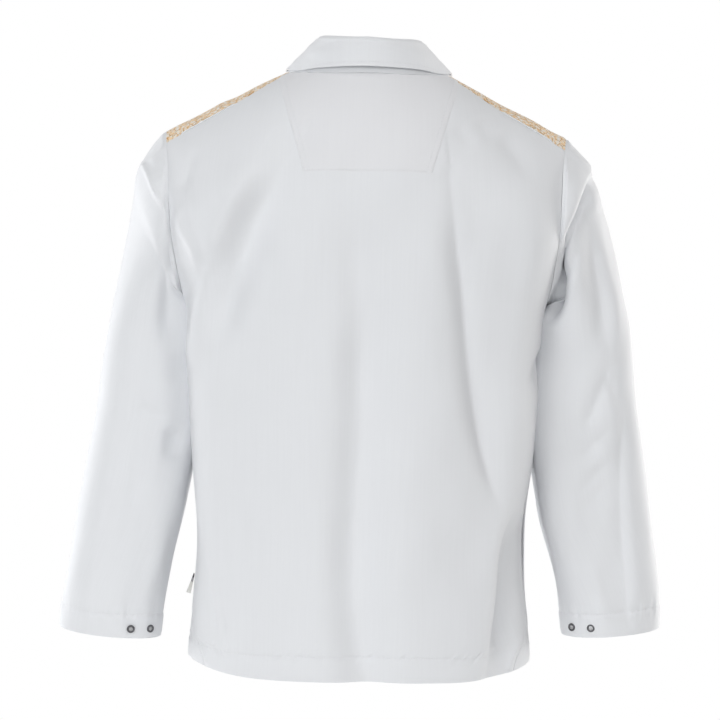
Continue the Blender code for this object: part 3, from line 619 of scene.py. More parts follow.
def lower_point(column, t, side):
    """Between the hem (t = 0) and the underarm (t = 1)."""
    inner, outer = column
    panel_angle = section_angle(PANEL_BOTTOM_HALF / half_width(UNDERARM_Z))
    level_z = mix(HEM_Z, UNDERARM_Z, t)
    open_share = ease((VENT_TOP_Z - level_z) / (VENT_TOP_Z - HEM_Z))
    end_angle = math.pi / 2 - side * VENT_TURN * open_share
    if side > 0:
        end_angle -= VENT_SLIT * open_share
    if outer is None:
        angle = section_angle(inner * section_share(panel_angle))
    else:
        angle = mix(panel_angle, end_angle, outer)
    behind = angle > math.pi / 2
    angle = min(angle, math.pi - angle)
    corner = (angle / (math.pi / 2) - HEM_CORNER_START) / (1 - HEM_CORNER_START)
    z = level_z + HEM_CORNER_RISE * ease(corner) * (1 - t)
    depth = back_depth(z) if behind or side > 0 else front_depth(z)
    y = depth * section_share(math.pi / 2 - angle)
    if behind:
        y = -y
    return Vector((half_width(z) * section_share(angle), side * (y + GAP), z))


def upper_columns_x(column, z, spread, panel_half, side):
    """spread runs from columns as far apart as at the underarm (0) to evenly apart (1)."""
    inner, outer = column
    if outer is None:
        return inner * panel_half
    under = half_width(UNDERARM_Z)
    x = under * section_share(mix(section_angle(PANEL_BOTTOM_HALF / under), math.pi / 2, outer))
    share = (x - PANEL_BOTTOM_HALF) / (under - PANEL_BOTTOM_HALF)
    return mix(panel_half, armhole_x(z, side), mix(share, outer, spread))


def back_top(column):
    """(x, z) on the back's top edge, which follows the neck hole and then the yoke seam."""
    inner, outer = column
    seam_start = neck_point(YOKE_BACK_ANGLE).x
    seam_end, _ = yoke_seam(1.0, 1)
    x = inner * PANEL_TOP_HALF if outer is None else mix(PANEL_TOP_HALF, seam_end, outer)
    if x < seam_start:
        return x, neck_point(math.asin(x / NECK_HALF_WIDTH)).z - GAP
    _, z = yoke_seam((x - seam_start) / (seam_end - seam_start), 1)
    return x, z - GAP


def front_top(column):
    """(x, z) on the front's top edge: the neckline beside the slit, then the yoke seam."""
    inner, outer = column
    corner = neck_point(YOKE_FRONT_ANGLE)
    slit_angle = math.pi - math.asin(SLIT_TOP_HALF / NECK_HALF_WIDTH)
    if outer is None:
        point = neck_point(mix(slit_angle, YOKE_FRONT_ANGLE, inner))
        return point.x, point.z - GAP
    seam_end, _ = yoke_seam(1.0, -1)
    x = mix(corner.x, seam_end, outer)
    _, z = yoke_seam((x - corner.x) / (seam_end - corner.x), -1)
    return x, z - GAP


def middle_z(column):
    """The height of the row at the neck panel's lower edge, which drops towards the armhole."""
    _, outer = column
    return PANEL_BOTTOM_Z if outer is None else mix(PANEL_BOTTOM_Z, ARMHOLE_MIDDLE_Z, ease(outer))


def upper_z(middle, top, t):
    """Height between the underarm (t = 0), the middle row (t = 1) and the top edge (t = 2)."""
    if t <= 1:
        return mix(UNDERARM_Z, middle, t**MIDDLE_CROWDING)
    return mix(middle, top, t - 1)


def back_upper_point(column, t):
    """Between the underarm (t = 0), the neck panel's lower edge (t = 1) and the top edge (t = 2)."""
    top_x, top_z = back_top(column)
    z = upper_z(middle_z(column), top_z, t)
    if t <= 1:
        x = upper_columns_x(column, z, MIDDLE_SPREAD * t, PANEL_BOTTOM_HALF, 1)
    else:
        panel_half = mix(PANEL_BOTTOM_HALF, PANEL_TOP_HALF, t - 1)
        x = upper_columns_x(column, z, mix(MIDDLE_SPREAD, 1.0, t - 1), panel_half, 1)
    if t == 2:
        x = top_x
    return body_point(x, z, 1) + Vector((0, GAP, 0))


def slit_half(z):
    return mix(SLIT_BOTTOM_HALF, SLIT_TOP_HALF, (z - UNDERARM_Z) / (SLIT_TOP_Z - UNDERARM_Z))


def front_upper_point(column, t):
    """Between the underarm (t = 0), the middle row (t = 1) and the top edge (t = 2)."""
    inner, outer = column
    top_x, top_z = front_top(column)
    z = upper_z(middle_z(column), top_z, t)
    corner_x = neck_point(YOKE_FRONT_ANGLE).x
    panel_half = mix(PANEL_BOTTOM_HALF, corner_x, max(t - 1, 0.0))
    if outer is None:
        x = mix(slit_half(z), panel_half, inner)
    else:
        x = upper_columns_x(column, z, t / 2, panel_half, -1)
    if t == 2:
        x = top_x
    return body_point(x, z, -1) - Vector((0, GAP, 0))


def mirrored(point):
    """The matching point on the wearer's right, whose shoulder sits a little lower and further in."""
    x, y, z = point
    low = math.exp(-(((x - RIGHT_DROP_X) / RIGHT_DROP_REACH) ** 2))
    low *= ease((z - RIGHT_DROP_FROM_Z) / RIGHT_DROP_FADE)
    inward = math.exp(-(((x - TIP_X) / RIGHT_IN_REACH) ** 2))
    inward *= ease((z - RIGHT_IN_FROM_Z) / RIGHT_IN_FADE)
    return Vector((RIGHT_IN * inward - x, y, z - RIGHT_DROP * low))


# Sleeves


def armhole_point(angle):
    """The armhole's outline: 0 is the shoulder tip, a quarter turn the back, a half turn the underarm."""
    side = 1 if math.sin(angle) >= 0 else -1
    middle = (SLEEVE_RINGS[0][1] + UNDERARM_Z) / 2
    z = middle + (SLEEVE_RINGS[0][1] - middle) * math.cos(angle)
    x = armhole_x(z, side)
    return body_point(x, z, side) + Vector((ARMHOLE_GAP, 0, 0))


def ring_point(ring, angle):
    """A point of the ellipse that stands for one ring of the left sleeve."""
    outer = Vector((sleeve_value["outer_x"](ring), 0, sleeve_value["outer_z"](ring)))
    inner = Vector((sleeve_value["inner_x"](ring), 0, sleeve_value["inner_z"](ring)))
    middle = (outer + inner) / 2
    depth = sleeve_value["half_depth"](ring) * math.sin(angle)
    point = middle + (outer - inner) / 2 * math.cos(angle)
    point.y = sleeve_value["middle_y"](ring) + depth
    point.z -= CUFF_BACK_DIP * depth * ease((ring - ELBOW_RING) / CUFF_DIP_RINGS)
    return point


def sleeve_point(sign, ring, angle):
    point = ring_point(ring, angle)
    if ring < ARMHOLE_FADE:
        fade = 1 - ease(ring / ARMHOLE_FADE)
        point += (armhole_point(angle) - ring_point(0.0, angle)) * fade
    if sign > 0:
        return point
    down = ring / SLEEVE_LAST
    outward = (1 + math.cos(angle)) / 2
    bowed = max((ring - RIGHT_BOW_START) / (SLEEVE_LAST - RIGHT_BOW_START), 0.0)
    point.x += RIGHT_BOW * math.sin(math.pi * bowed**RIGHT_BOW_POWER) * outward
    point.x += RIGHT_CUFF_NARROWER * down**2 * (1 - outward)
    point.z += RIGHT_LIFT * ease(down)
    return mirrored(point)


def sleeve_normal(sign, ring, angle):
    """Outward, from two short steps on the surface."""
    step = NORMAL_STEP
    down = sleeve_point(sign, ring, angle) - sleeve_point(sign, ring - step, angle)
    around = sleeve_point(sign, ring, angle + step) - sleeve_point(sign, ring, angle - step)
    return down.cross(around).normalized() * sign


# Collar


def collar_seam(angle):
    return neck_point(angle) + Vector((0, 0, GAP))


def collar_fold(angle):
    """The top of the stand, where the leaf turns over."""
    turn = abs(angle)
    x = FOLD_HALF_WIDTH * abs(math.sin(turn)) ** (2 / FOLD_SQUARENESS)
    depth = FOLD_BACK_DEPTH if turn < math.pi / 2 else FOLD_FRONT_DEPTH
    y = math.copysign(depth * abs(math.cos(turn)) ** (2 / FOLD_SQUARENESS), math.cos(turn))
    if turn < math.pi / 2:
        z = mix(FOLD_BACK_Z, FOLD_SIDE_Z, math.sin(turn) ** 2)
    else:
        forward = (turn - math.pi / 2) / (COLLAR_END_ANGLE - math.pi / 2)
        z = mix(FOLD_SIDE_Z, FOLD_FRONT_Z, ease(forward))
    return Vector((x, y, z))


def fold_frame(angle):
    """The directions out and up that are square to the fold line on the wearer's left."""
    turn = abs(angle)
    step = 2 * NORMAL_STEP
    along = (collar_fold(turn + step) - collar_fold(max(turn - step, 0.0))).normalized()
    up = (Vector((0, 0, 1)) - along * along.z).normalized()
    return up.cross(along), up


def leaf_edge(angle):
    """The free edge of the turned-down leaf, which lies just clear of the shoulders and chest."""
    turn = abs(angle)
    if turn < math.pi / 2:
        x = LEAF_SIDE_X * math.sin(turn)
        y = LEAF_BACK_Y * math.cos(turn)
    else:
        share = (turn - math.pi / 2) / (COLLAR_END_ANGLE - math.pi / 2)
        x = mix(LEAF_SIDE_X, LEAF_POINT_X, share**LEAF_CURVE)
        y = LEAF_POINT_Y * math.sin(share * math.pi / 2)
    lying = height_at(x, y) + LEAF_CLEARANCE
    resting = ease((turn - LEAF_HANGS_TO) / (LEAF_RESTS_FROM - LEAF_HANGS_TO))
    return Vector((x, y, mix(LEAF_BACK_Z, lying, resting)))


def leaf_point(angle, down):
    """down runs from the fold (0) to the free edge (1)."""
    fold = collar_fold(angle)
    edge = leaf_edge(angle)
    outward, up = fold_frame(angle)
    start = fold + (outward * ROLL_END[0] + up * ROLL_END[1]) * FOLD_ROLL
    point = start.lerp(edge, down) + outward * LEAF_BULGE * math.sin(math.pi * down)
    seam = collar_seam(abs(angle))
    if point.z > seam.z:
        beside = seam.lerp(fold, (point.z - seam.z) / (fold.z - seam.z))
        clear = beside + outward * (COLLAR_CLOTH + LEAF_OFF_STAND)
        short = (clear - point).dot(outward)
        if short > 0:
            point += outward * short
    if point.y < 0 and point.z < ridge_z(point.x):
        point.y = min(point.y, -body_depth(point.x, point.z, -1) - LEAF_CLEARANCE)
    return point


def on_side(point, angle, fold_share):
    """The point on its own side of the neck, with the fold's lean from left to right."""
    point = point if angle >= 0 else mirrored(point)
    return point + Vector((FOLD_SHIFT, 0, FOLD_LEAN * point.x)) * fold_share


# Dense grids


def spaced(count, start=False, end=False, extra=()):
    """0 to 1 in even steps, with finer ones beside a sewn edge and wherever extra names."""
    values = {i / count for i in range(count + 1)} | set(extra)
    if start:
        values |= {share / count for share in FINE_STEPS}
    if end:
        values |= {1 - share / count for share in FINE_STEPS}
    return sorted(values)


def points_array(rows):
    return np.array([[tuple(p) for p in row] for row in rows])


def hem_steps():
    """Rows on the hem's stitch line and close to it."""
    height = UNDERARM_Z - HEM_Z
    return [(HEM_DEPTH + offset) / height for offset in LINE_OFFSETS]


def trunk_grid(side):
    """The dense grid of the back (side 1) or of the front, from the wearer's right to the left."""
    columns = [(u, None) for u in spaced(PANEL_COLUMNS)]
    columns += [(None, u) for u in spaced(OUTER_COLUMNS, end=True)[1:]]
    upper = back_upper_point if side > 0 else front_upper_point
    steps = spaced(LOWER_ROWS, start=True, extra=hem_steps())[:-1]
    rows = [[lower_point(column, t, side) for column in columns] for t in steps]
    steps = spaced(MIDDLE_ROWS)[:-1] + [1 + t for t in spaced(UPPER_ROWS, end=True)]
    rows += [[upper(column, t) for column in columns] for t in steps]
    half = points_array(rows)
    other = points_array([[mirrored(p) for p in reversed(row)] for row in rows])
    return np.concatenate([other[:, :-1] if side > 0 else other, half], axis=1)


def ring_grid(sign):
    """The dense grid of a sleeve, from the armhole down."""
    angles = [2 * math.pi * i / SLEEVE_AROUND for i in range(SLEEVE_AROUND)]
    hem = [1 - (HEM_DEPTH + o) / SLEEVE_REACH for o in LINE_OFFSETS]
    steps = spaced(SLEEVE_ROWS, True, True, extra=hem)
    return points_array([[sleeve_point(sign, SLEEVE_LAST * t, a) for a in angles] for t in steps])


def yoke_grid(sign):
    across = [2 * t - 1 for t in spaced(YOKE_ACROSS, True, True)]
    rows = [[yoke_point(u, v) for u in spaced(YOKE_ALONG, True, True)] for v in across]
    return points_array(rows if sign > 0 else [[mirrored(p) for p in row] for row in rows])


def collar_angles():
    return [COLLAR_END_ANGLE * (2 * t - 1) for t in spaced(COLLAR_AROUND, True, True)]


def stand_grid():
    rows = []
    for t in spaced(STAND_ROWS, True):
        row = []
        for angle in collar_angles():
            point = collar_seam(abs(angle)).lerp(collar_fold(angle), t)
            row.append(on_side(point, angle, t))
        rows.append(row)
    return points_array(rows)


def fall_grid():
    """The roll over the top of the stand, then the leaf down to its free edge."""
    keys = [(float(i), *step) for i, step in enumerate((*ROLL_STEPS, ROLL_END))]
    out_at = smooth_table(keys, 1)
    up_at = smooth_table(keys, 2)
    rows = []
    for i in range(ROLL_ROWS):
        at = 2 * i / ROLL_ROWS
        row = []
        for angle in collar_angles():
            outward, upward = fold_frame(angle)
            point = collar_fold(angle) + (outward * out_at(at) + upward * up_at(at)) * FOLD_ROLL
            row.append(on_side(point, angle, 1.0))
        rows.append(row)
    for down in spaced(LEAF_ROWS, end=True):
        rows.append([on_side(leaf_point(a, down), a, 1 - down) for a in collar_angles()])
    return points_array(rows)


def grid_normals(points, turn, ring=False):
    """Unit normals of a grid; turn is 1 where across x along points outwards."""
    if ring:
        points = np.concatenate([points[:, -1:], points, points[:, :1]], axis=1)
    normal = np.cross(np.gradient(points, axis=1), np.gradient(points, axis=0)) * turn
    if ring:
        normal = normal[:, 1:-1]
    return normal / np.maximum(np.linalg.norm(normal, axis=2, keepdims=True), 1e-12)


def raised(form, normals, relief):
    return form + normals * relief[..., None]


def lengths_along(points, axis):
    """Distance from the first row (axis 0) or column (axis 1) along the grid's lines."""
    steps = np.linalg.norm(np.diff(points, axis=axis), axis=2)
    total = np.cumsum(steps, axis=axis)
    first = np.zeros_like(total[:1] if axis == 0 else total[:, :1])
    return np.concatenate([first, total], axis=axis)


# Creases


def smooth_path(path):
    """A smooth line in metres through the points of a path in millimetres."""
    keys = numbered([(x / MILLIMETRES, z / MILLIMETRES) for x, z in path])
    along = [smooth_table(keys, 1), smooth_table(keys, 2)]
    steps = np.linspace(0, len(path) - 1, PATH_POINTS)
    return np.array([[value(t) for value in along] for t in steps])


def beside_path(x, z, path):
    """Signed distance (positive towards -X of a path that runs down) and the share along it."""
    best = np.full(x.shape, np.inf)
    signed = np.zeros(x.shape)
    share = np.zeros(x.shape)
    for i in range(len(path) - 1):
        start = path[i]
        along = path[i + 1] - start
        length = max(float(along @ along), 1e-12)
        t = np.clip(((x - start[0]) * along[0] + (z - start[1]) * along[1]) / length, 0, 1)
        off_x = x - start[0] - t * along[0]
        off_z = z - start[1] - t * along[1]
        distance = np.hypot(off_x, off_z)
        nearer = distance < best
        side = np.sign(off_x * along[1] - off_z * along[0])
        best = np.where(nearer, distance, best)
        signed = np.where(nearer, distance * side, signed)
        share = np.where(nearer, (i + t) / (len(path) - 1), share)
    return signed, share


def soft_step(values, low, high):
    t = np.clip((values - low) / (high - low), 0, 1)
    return t * t * (3 - 2 * t)


def creased(x, z, creases):
    """The sum of the creases at each point, in metres."""
    total = np.zeros(x.shape)
    for depth, left, right, sharp, start, end, path in creases:
        reach = CREASE_REACH * max(left, right) / MILLIMETRES
        line = smooth_path(path)
        low = line.min(axis=0) - reach
        high = line.max(axis=0) + reach
        near = (x > low[0]) & (x < high[0]) & (z > low[1]) & (z < high[1])
        if not near.any():
            continue
        distance, share = beside_path(x[near], z[near], line)
        width = np.where(distance < 0, left, right) / MILLIMETRES
        taper = start + (1 - start) * soft_step(share, 0, CREASE_TAPER)
        taper *= end + (1 - end) * soft_step(1 - share, 0, CREASE_TAPER)
        rounded = np.exp(-((distance / width) ** 2))
        pressed = np.exp(-(np.hypot(distance, CREASE_EDGE) - CREASE_EDGE) / width)
        section = rounded + sharp * (pressed - rounded)
        total[near] += CREASE_STRENGTH * depth / MILLIMETRES * taper * section
    return total


def uneven(x, z, seed, size, height):
    """Faint unevenness of worn cloth: waves of many directions, about this size and height."""
    draw = np.random.default_rng(seed)
    total = np.zeros(x.shape)
    for _ in range(WAVES):
        turn = draw.uniform(0, 2 * math.pi)
        pitch = size * draw.uniform(*WAVE_PITCHES)
        phase = draw.uniform(0, 2 * math.pi)
        flat = x * math.cos(turn) * WAVES_ACROSS + z * math.sin(turn) * WAVES_DOWN
        total += np.sin(2 * math.pi * flat / pitch + phase)
    return total * height / math.sqrt(WAVES)


def puckers(along, across, seed, pitch, height, reach):
    """Short ripples that cross a seam: along runs on it, across is the distance from it."""
    draw = np.random.default_rng(seed)
    total = np.zeros(along.shape)
    for _ in range(PUCKER_WAVES):
        length = pitch * draw.uniform(*PUCKER_PITCHES)
        phase = draw.uniform(0, 2 * math.pi)
        total += np.sin(2 * math.pi * along / length + phase)
    swell = np.sin(2 * math.pi * along / (pitch * PUCKER_SWELLS) + seed)
    swell = 1 - PUCKER_FADE + PUCKER_FADE * swell
    total *= height * swell / math.sqrt(PUCKER_WAVES)
    return total * np.exp(-((across / reach) ** 2))


def groove(distance, depth, width):
    return -depth * np.exp(-((distance / width) ** 2))


# Pieces


def shown_object(name, mesh):
    made = bpy.data.objects.new(name, mesh)
    bpy.context.scene.collection.objects.link(made)
    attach(made, "root")
    return made


def grid_quads(rows, columns, turn, ring=False, skip=None):
    index = np.arange(rows * columns).reshape(rows, columns)
    right = np.roll(index, -1, axis=1)
    quads = np.stack([index[:-1], right[:-1], right[1:], index[1:]], axis=-1)
    if not ring:
        quads = quads[:, :-1]
    if skip is not None:
        keep = np.ones(quads.shape[:2], bool)
        keep[:, skip] = False
        quads = quads[keep]
    quads = quads.reshape(-1, 4)
    return quads if turn > 0 else quads[:, ::-1]


def cloth_piece(name, points, turn, look, thickness, ring=False, weld=None, doubled=None):
    """A shell of one grid. weld is (column, rows) where the front's two halves are one cloth."""
    rows, columns, _ = points.shape
    quads = grid_quads(rows, columns, turn, ring, None if weld is None else weld[0])
    flat = points.reshape(-1, 3)
    along = lengths_along(points, 0)
    across = lengths_along(points, 1)
    across = across - across[:, columns // 2 : columns // 2 + 1]
    if weld is not None:
        column, last = weld
        moved = np.arange(rows * columns)
        for row in range(last + 1):
            moved[row * columns + column + 1] = row * columns + column
        quads = moved[quads]
    mesh = bpy.data.meshes.new(name)
    used, packed = np.unique(quads, return_inverse=True)
    packed = packed.reshape(-1, 4)
    mesh.from_pydata(flat[used].tolist(), [], packed.tolist())
    layer = mesh.uv_layers.new(name="Cloth")
    pairs = np.stack([across.reshape(-1), along.reshape(-1)], axis=1)[used]
    corner = np.zeros(len(mesh.loops), np.int32)
    mesh.loops.foreach_get("vertex_index", corner)
    layer.data.foreach_set("uv", pairs[corner].astype(np.float32).ravel())
    mesh.shade_smooth()
    mesh.materials.append(look)
    made = shown_object(name, mesh)
    solidify = made.modifiers.new("Cloth", "SOLIDIFY")
    solidify.offset = -1
    solidify.thickness = thickness
    if doubled is not None:
        group = made.vertex_groups.new(name="turned_hem")
        places = np.flatnonzero(doubled.reshape(-1)[used])
        group.add(places.tolist(), 1.0, "REPLACE")
        solidify.thickness = TURNED_HEM
        solidify.vertex_group = group.name
        solidify.thickness_vertex_group = thickness / TURNED_HEM
    edges = made.modifiers.new("Cut edges", "EDGE_SPLIT")
    edges.split_angle = CUT_EDGE_ANGLE
    return made


# Stitches


def line_beside(points, normals, axis, at, part=slice(None), block=slice(None)):
    """The line at this distance from the grid's first row (axis 0) or column (axis 1), or from
    the last one where the distance is negative. block names the grid's columns that count, and
    part the stretch of the line."""
    points = points[:, block]
    normals = normals[:, block]
    if axis == 1:
        points = points.transpose(1, 0, 2)
        normals = normals.transpose(1, 0, 2)
    points = points[:, part]
    normals = normals[:, part]
    if at < 0:
        points = points[::-1]
        normals = normals[::-1]
    along = lengths_along(points, 0)
    line = []
    for column in range(points.shape[1]):
        row = int(np.searchsorted(along[:, column], abs(at)))
        row = min(max(row, 1), len(points) - 1)
        step = along[row, column] - along[row - 1, column]
        t = (abs(at) - along[row - 1, column]) / max(step, 1e-9)
        point = points[row - 1, column] * (1 - t) + points[row, column] * t
        line.append((point, normals[row, column]))
    return line


def stitch_boxes(line):
    """Small rounded stitches along a line of (point, normal)."""
    places = np.array([p for p, _ in line])
    normals = np.array([n for _, n in line])
    length = np.concatenate([[0], np.cumsum(np.linalg.norm(np.diff(places, axis=0), axis=1))])
    count = int(length[-1] / STITCH_PITCH)
    starts = (np.arange(count) + 0.5) * length[-1] / max(count, 1)
    points = []
    faces = []
    for middle in starts:
        ends = []
        for at in (middle - STITCH_LENGTH / 2, middle, middle + STITCH_LENGTH / 2):
            ends.append([np.interp(at, length, places[:, k]) for k in range(3)])
        ends = np.array(ends)
        normal = np.array([np.interp(middle, length, normals[:, k]) for k in range(3)])
        along = ends[2] - ends[0]
        side = np.cross(along, normal)
        side *= STITCH_WIDTH / 2 / max(np.linalg.norm(side), 1e-9)
        first = len(points)
        for step, (rise, wide) in enumerate(STITCH_SECTIONS):
            base = ends[step] + normal * STITCH_RISE * rise
            crown = base + normal * STITCH_RISE * STITCH_CROWN
            points += [base - side * wide, crown, base + side * wide]
            points.append(base - normal * STITCH_RISE)
        for step in (0, 4):
            for k in range(4):
                a = first + step + k
                b = first + step + (k + 1) % 4
                faces.append((a, b, b + 4, a + 4))
        faces.append((first + 3, first + 2, first + 1, first))
        faces.append((first + 8, first + 9, first + 10, first + 11))
    return points, faces


def stitch_piece(name, points_and_normals, lines, closed=False):
    """One piece of all the stitches along these lines beside a grid's edges."""
    points = []
    faces = []
    for place in lines:
        line = line_beside(*points_and_normals, *place)
        more, quads = stitch_boxes(line + line[:1] if closed else line)
        faces += [tuple(len(points) + i for i in quad) for quad in quads]
        points += more
    mesh = bpy.data.meshes.new(name)
    mesh.from_pydata([tuple(p) for p in points], [], faces)
    mesh.shade_smooth()
    mesh.materials.append(thread_look)
    return shown_object(name, mesh)


# Materials

TWILL_SCALE = 390.0
PRINT_SCALE = 230.0
PRINT_BEND = 0.42
PRINT_LINE = 0.075  # of a cell
PRINT_SHADE = 0.75
TONE_STREAKS = (410.0, 9.0, 1.0)
TONE_DARK_TO = 0.30
TONE_LIGHT_FROM = 0.72
THREAD_STREAKS = (420.0, 11.0, 1.0)
SOFT_WAVES = (38.0, 22.0, 1.0)
PRINT_SHADES = (210.0, 160.0, 1.0)
TAPE_WEAVE = (900.0, 2200.0, 1.0)
GOLD = (0.52, 0.30, 0.05)
ORANGE = (1.0, 0.64, 0.25)
PRINT_GROUND = (0.93, 0.91, 0.88)
WHITE_GROUND = (0.95, 0.93, 0.90)
CLOTH_LIGHT = (0.800, 0.812, 0.835)
CLOTH_DARK = (0.786, 0.797, 0.820)
PANEL_LIGHT = (0.800, 0.804, 0.826)
PANEL_DARK = (0.788, 0.791, 0.813)
THREAD_LIGHT = (0.86, 0.87, 0.89)
THREAD_DARK = (0.70, 0.71, 0.73)
METAL_DARKER = 0.7
LABEL_DARK = (0.05, 0.05, 0.065)
LABEL_GREY = (0.34, 0.34, 0.35)
LABEL_WHITE = (0.74, 0.74, 0.70)
LABEL_BAND = 0.20  # of the tape's height, where the dark part ends
LABEL_STOPS = ((0.0, LABEL_DARK), (0.04, LABEL_GREY), (0.20, LABEL_GREY), (0.26, LABEL_WHITE))


def nodes_of(name):
    made = bpy.data.materials.new(name)
    made.use_nodes = True
    tree = made.node_tree
    return made, tree, tree.nodes["Principled BSDF"]


def new_node(tree, kind, **values):
    made = tree.nodes.new(kind)
    for key, value in values.items():
        if hasattr(made, key):
            setattr(made, key, value)
        else:
            made.inputs[key.replace("_", " ").title()].default_value = value
    return made


def fill(node, values):
    for name, value in values.items():
        node.inputs[name].default_value = value


def stretched(tree, scale):
    """The cloth's own metres, across and along, stretched by this scale."""
    place = new_node(tree, "ShaderNodeUVMap", uv_map="Cloth")
    mapping = new_node(tree, "ShaderNodeMapping")
    mapping.inputs["Scale"].default_value = scale
    tree.links.new(place.outputs["UV"], mapping.inputs["Vector"])
    return mapping.outputs["Vector"]


def noise(tree, scale, detail=2.0):
    made = new_node(tree, "ShaderNodeTexNoise", Scale=1.0, Detail=detail)
    tree.links.new(stretched(tree, scale), made.inputs["Vector"])
    return made.outputs["Fac"]


def ramp(tree, source, stops):
    made = tree.nodes.new("ShaderNodeValToRGB")
    elements = made.color_ramp.elements
    for i, (at, colour) in enumerate(stops):
        element = elements[i] if i < 2 else elements.new(at)
        element.position = at
        element.color = (*colour, 1.0)
    tree.links.new(source, made.inputs["Fac"])
    return made.outputs["Color"]


def bump(tree, shader, source, distance, strength, under=None):
    made = new_node(tree, "ShaderNodeBump", Distance=distance, Strength=strength)
    tree.links.new(source, made.inputs["Height"])
    if under is not None:
        tree.links.new(under.outputs["Normal"], made.inputs["Normal"])
    tree.links.new(made.outputs["Normal"], shader.inputs["Normal"])
    return made


def twill(tree):
    """Fine diagonal ribs."""
    made = new_node(tree, "ShaderNodeTexWave", wave_type="BANDS", bands_direction="DIAGONAL")
    fill(made, {"Scale": TWILL_SCALE, "Distortion": 0.6})
    tree.links.new(stretched(tree, (1.0, 1.35, 1.0)), made.inputs["Vector"])
    return made.outputs["Fac"]


def finish_cloth(tree, shader):
    """Twill ribs over the slightly uneven thread, which shows as faint upright streaks."""
    fill(shader, {"Roughness": 0.82, "Specular IOR Level": 0.25})
    fill(shader, {"Sheen Weight": 0.12, "Sheen Roughness": 0.45})
    streaks = bump(tree, shader, noise(tree, THREAD_STREAKS, 3.0), distance=0.0003, strength=0.08)
    soft = noise(tree, SOFT_WAVES, 3.0)
    soft = bump(tree, shader, soft, distance=0.0012, strength=0.12, under=streaks)
    bump(tree, shader, twill(tree), distance=0.00012, strength=0.35, under=soft)


def white_cloth(name, light, dark):
    made, tree, shader = nodes_of(name)
    colour = ramp(tree, noise(tree, TONE_STREAKS, 5.0), ((TONE_DARK_TO, dark), (TONE_LIGHT_FROM, light)))
    tree.links.new(colour, shader.inputs["Base Color"])
    finish_cloth(tree, shader)
    return made


def printed_cloth():
    """Off-white with fine broken lines in gold and orange, in no set order."""
    made, tree, shader = nodes_of("printed_cloth")
    bend = new_node(tree, "ShaderNodeTexNoise", Scale=1.0, Detail=3.0)
    place = stretched(tree, (PRINT_SCALE, PRINT_SCALE, 1.0))
    tree.links.new(place, bend.inputs["Vector"])
    shifted = new_node(tree, "ShaderNodeMix", data_type="VECTOR")
    shifted.inputs["Factor"].default_value = PRINT_BEND
    tree.links.new(place, shifted.inputs["A"])
    tree.links.new(bend.outputs["Color"], shifted.inputs["B"])
    cells = new_node(tree, "ShaderNodeTexVoronoi", feature="DISTANCE_TO_EDGE", Scale=1.0)
    tree.links.new(shifted.outputs["Result"], cells.inputs["Vector"])
    lines = ramp(tree, cells.outputs["Distance"], ((0.0, GOLD), (PRINT_LINE, PRINT_GROUND)))
    shade = ramp(tree, noise(tree, PRINT_SHADES), ((0.38, ORANGE), (0.60, WHITE_GROUND)))
    mixed = new_node(tree, "ShaderNodeMix", data_type="RGBA", blend_type="MULTIPLY")
    mixed.inputs["Factor"].default_value = PRINT_SHADE
    tree.links.new(lines, mixed.inputs["A"])
    tree.links.new(shade, mixed.inputs["B"])
    tree.links.new(mixed.outputs["Result"], shader.inputs["Base Color"])
    finish_cloth(tree, shader)
    return made


def grained(name, scale, detail, stops, roughness):
    """A finish with a fine grain between two colours, which stays with the piece."""
    made, tree, shader = nodes_of(name)
    place = new_node(tree, "ShaderNodeTexCoord")
    grain = new_node(tree, "ShaderNodeTexNoise", Scale=scale, Detail=detail)
    tree.links.new(place.outputs["Object"], grain.inputs["Vector"])
    tree.links.new(ramp(tree, grain.outputs["Fac"], stops), shader.inputs["Base Color"])
    shader.inputs["Roughness"].default_value = roughness
    return made, shader


def metal(name, colour, roughness):
    stops = ((0.35, tuple(METAL_DARKER * c for c in colour)), (0.65, colour))
    made, shader = grained(name, scale=900.0, detail=2.0, stops=stops, roughness=roughness)
    shader.inputs["Metallic"].default_value = 1.0
    return made


def thread():
    stops = ((0.3, THREAD_DARK), (0.7, THREAD_LIGHT))
    return grained("thread", scale=700.0, detail=1.0, stops=stops, roughness=0.6)[0]


def tape():
    """Woven tape: a dark band, then grey, then white."""
    made, tree, shader = nodes_of("label_tape")
    place = new_node(tree, "ShaderNodeUVMap", uv_map="Cloth")
    parts = new_node(tree, "ShaderNodeSeparateXYZ")
    tree.links.new(place.outputs["UV"], parts.inputs["Vector"])
    band = new_node(tree, "ShaderNodeMath", operation="MULTIPLY")
    band.inputs[1].default_value = 1 / LABEL_HEIGHT
    tree.links.new(parts.outputs["Y"], band.inputs[0])
    stops = [(LABEL_BAND + after, colour) for after, colour in LABEL_STOPS]
    colour = ramp(tree, band.outputs["Value"], stops)
    tree.links.new(colour, shader.inputs["Base Color"])
    shader.inputs["Roughness"].default_value = 0.7
    bump(tree, shader, noise(tree, TAPE_WEAVE, 1.0), distance=0.0002, strength=0.4)
    return made


cloth_look = white_cloth("white_cloth", CLOTH_LIGHT, CLOTH_DARK)
panel_look = white_cloth("neck_panel_cloth", PANEL_LIGHT, PANEL_DARK)
printed_look = printed_cloth()
thread_look = thread()

# The trunk's two panels


def window(values, start, full, fading, end):
    """0 outside start to end, and 1 between full and fading."""
    return soft_step(values, start, full) * (1 - soft_step(values, fading, end))


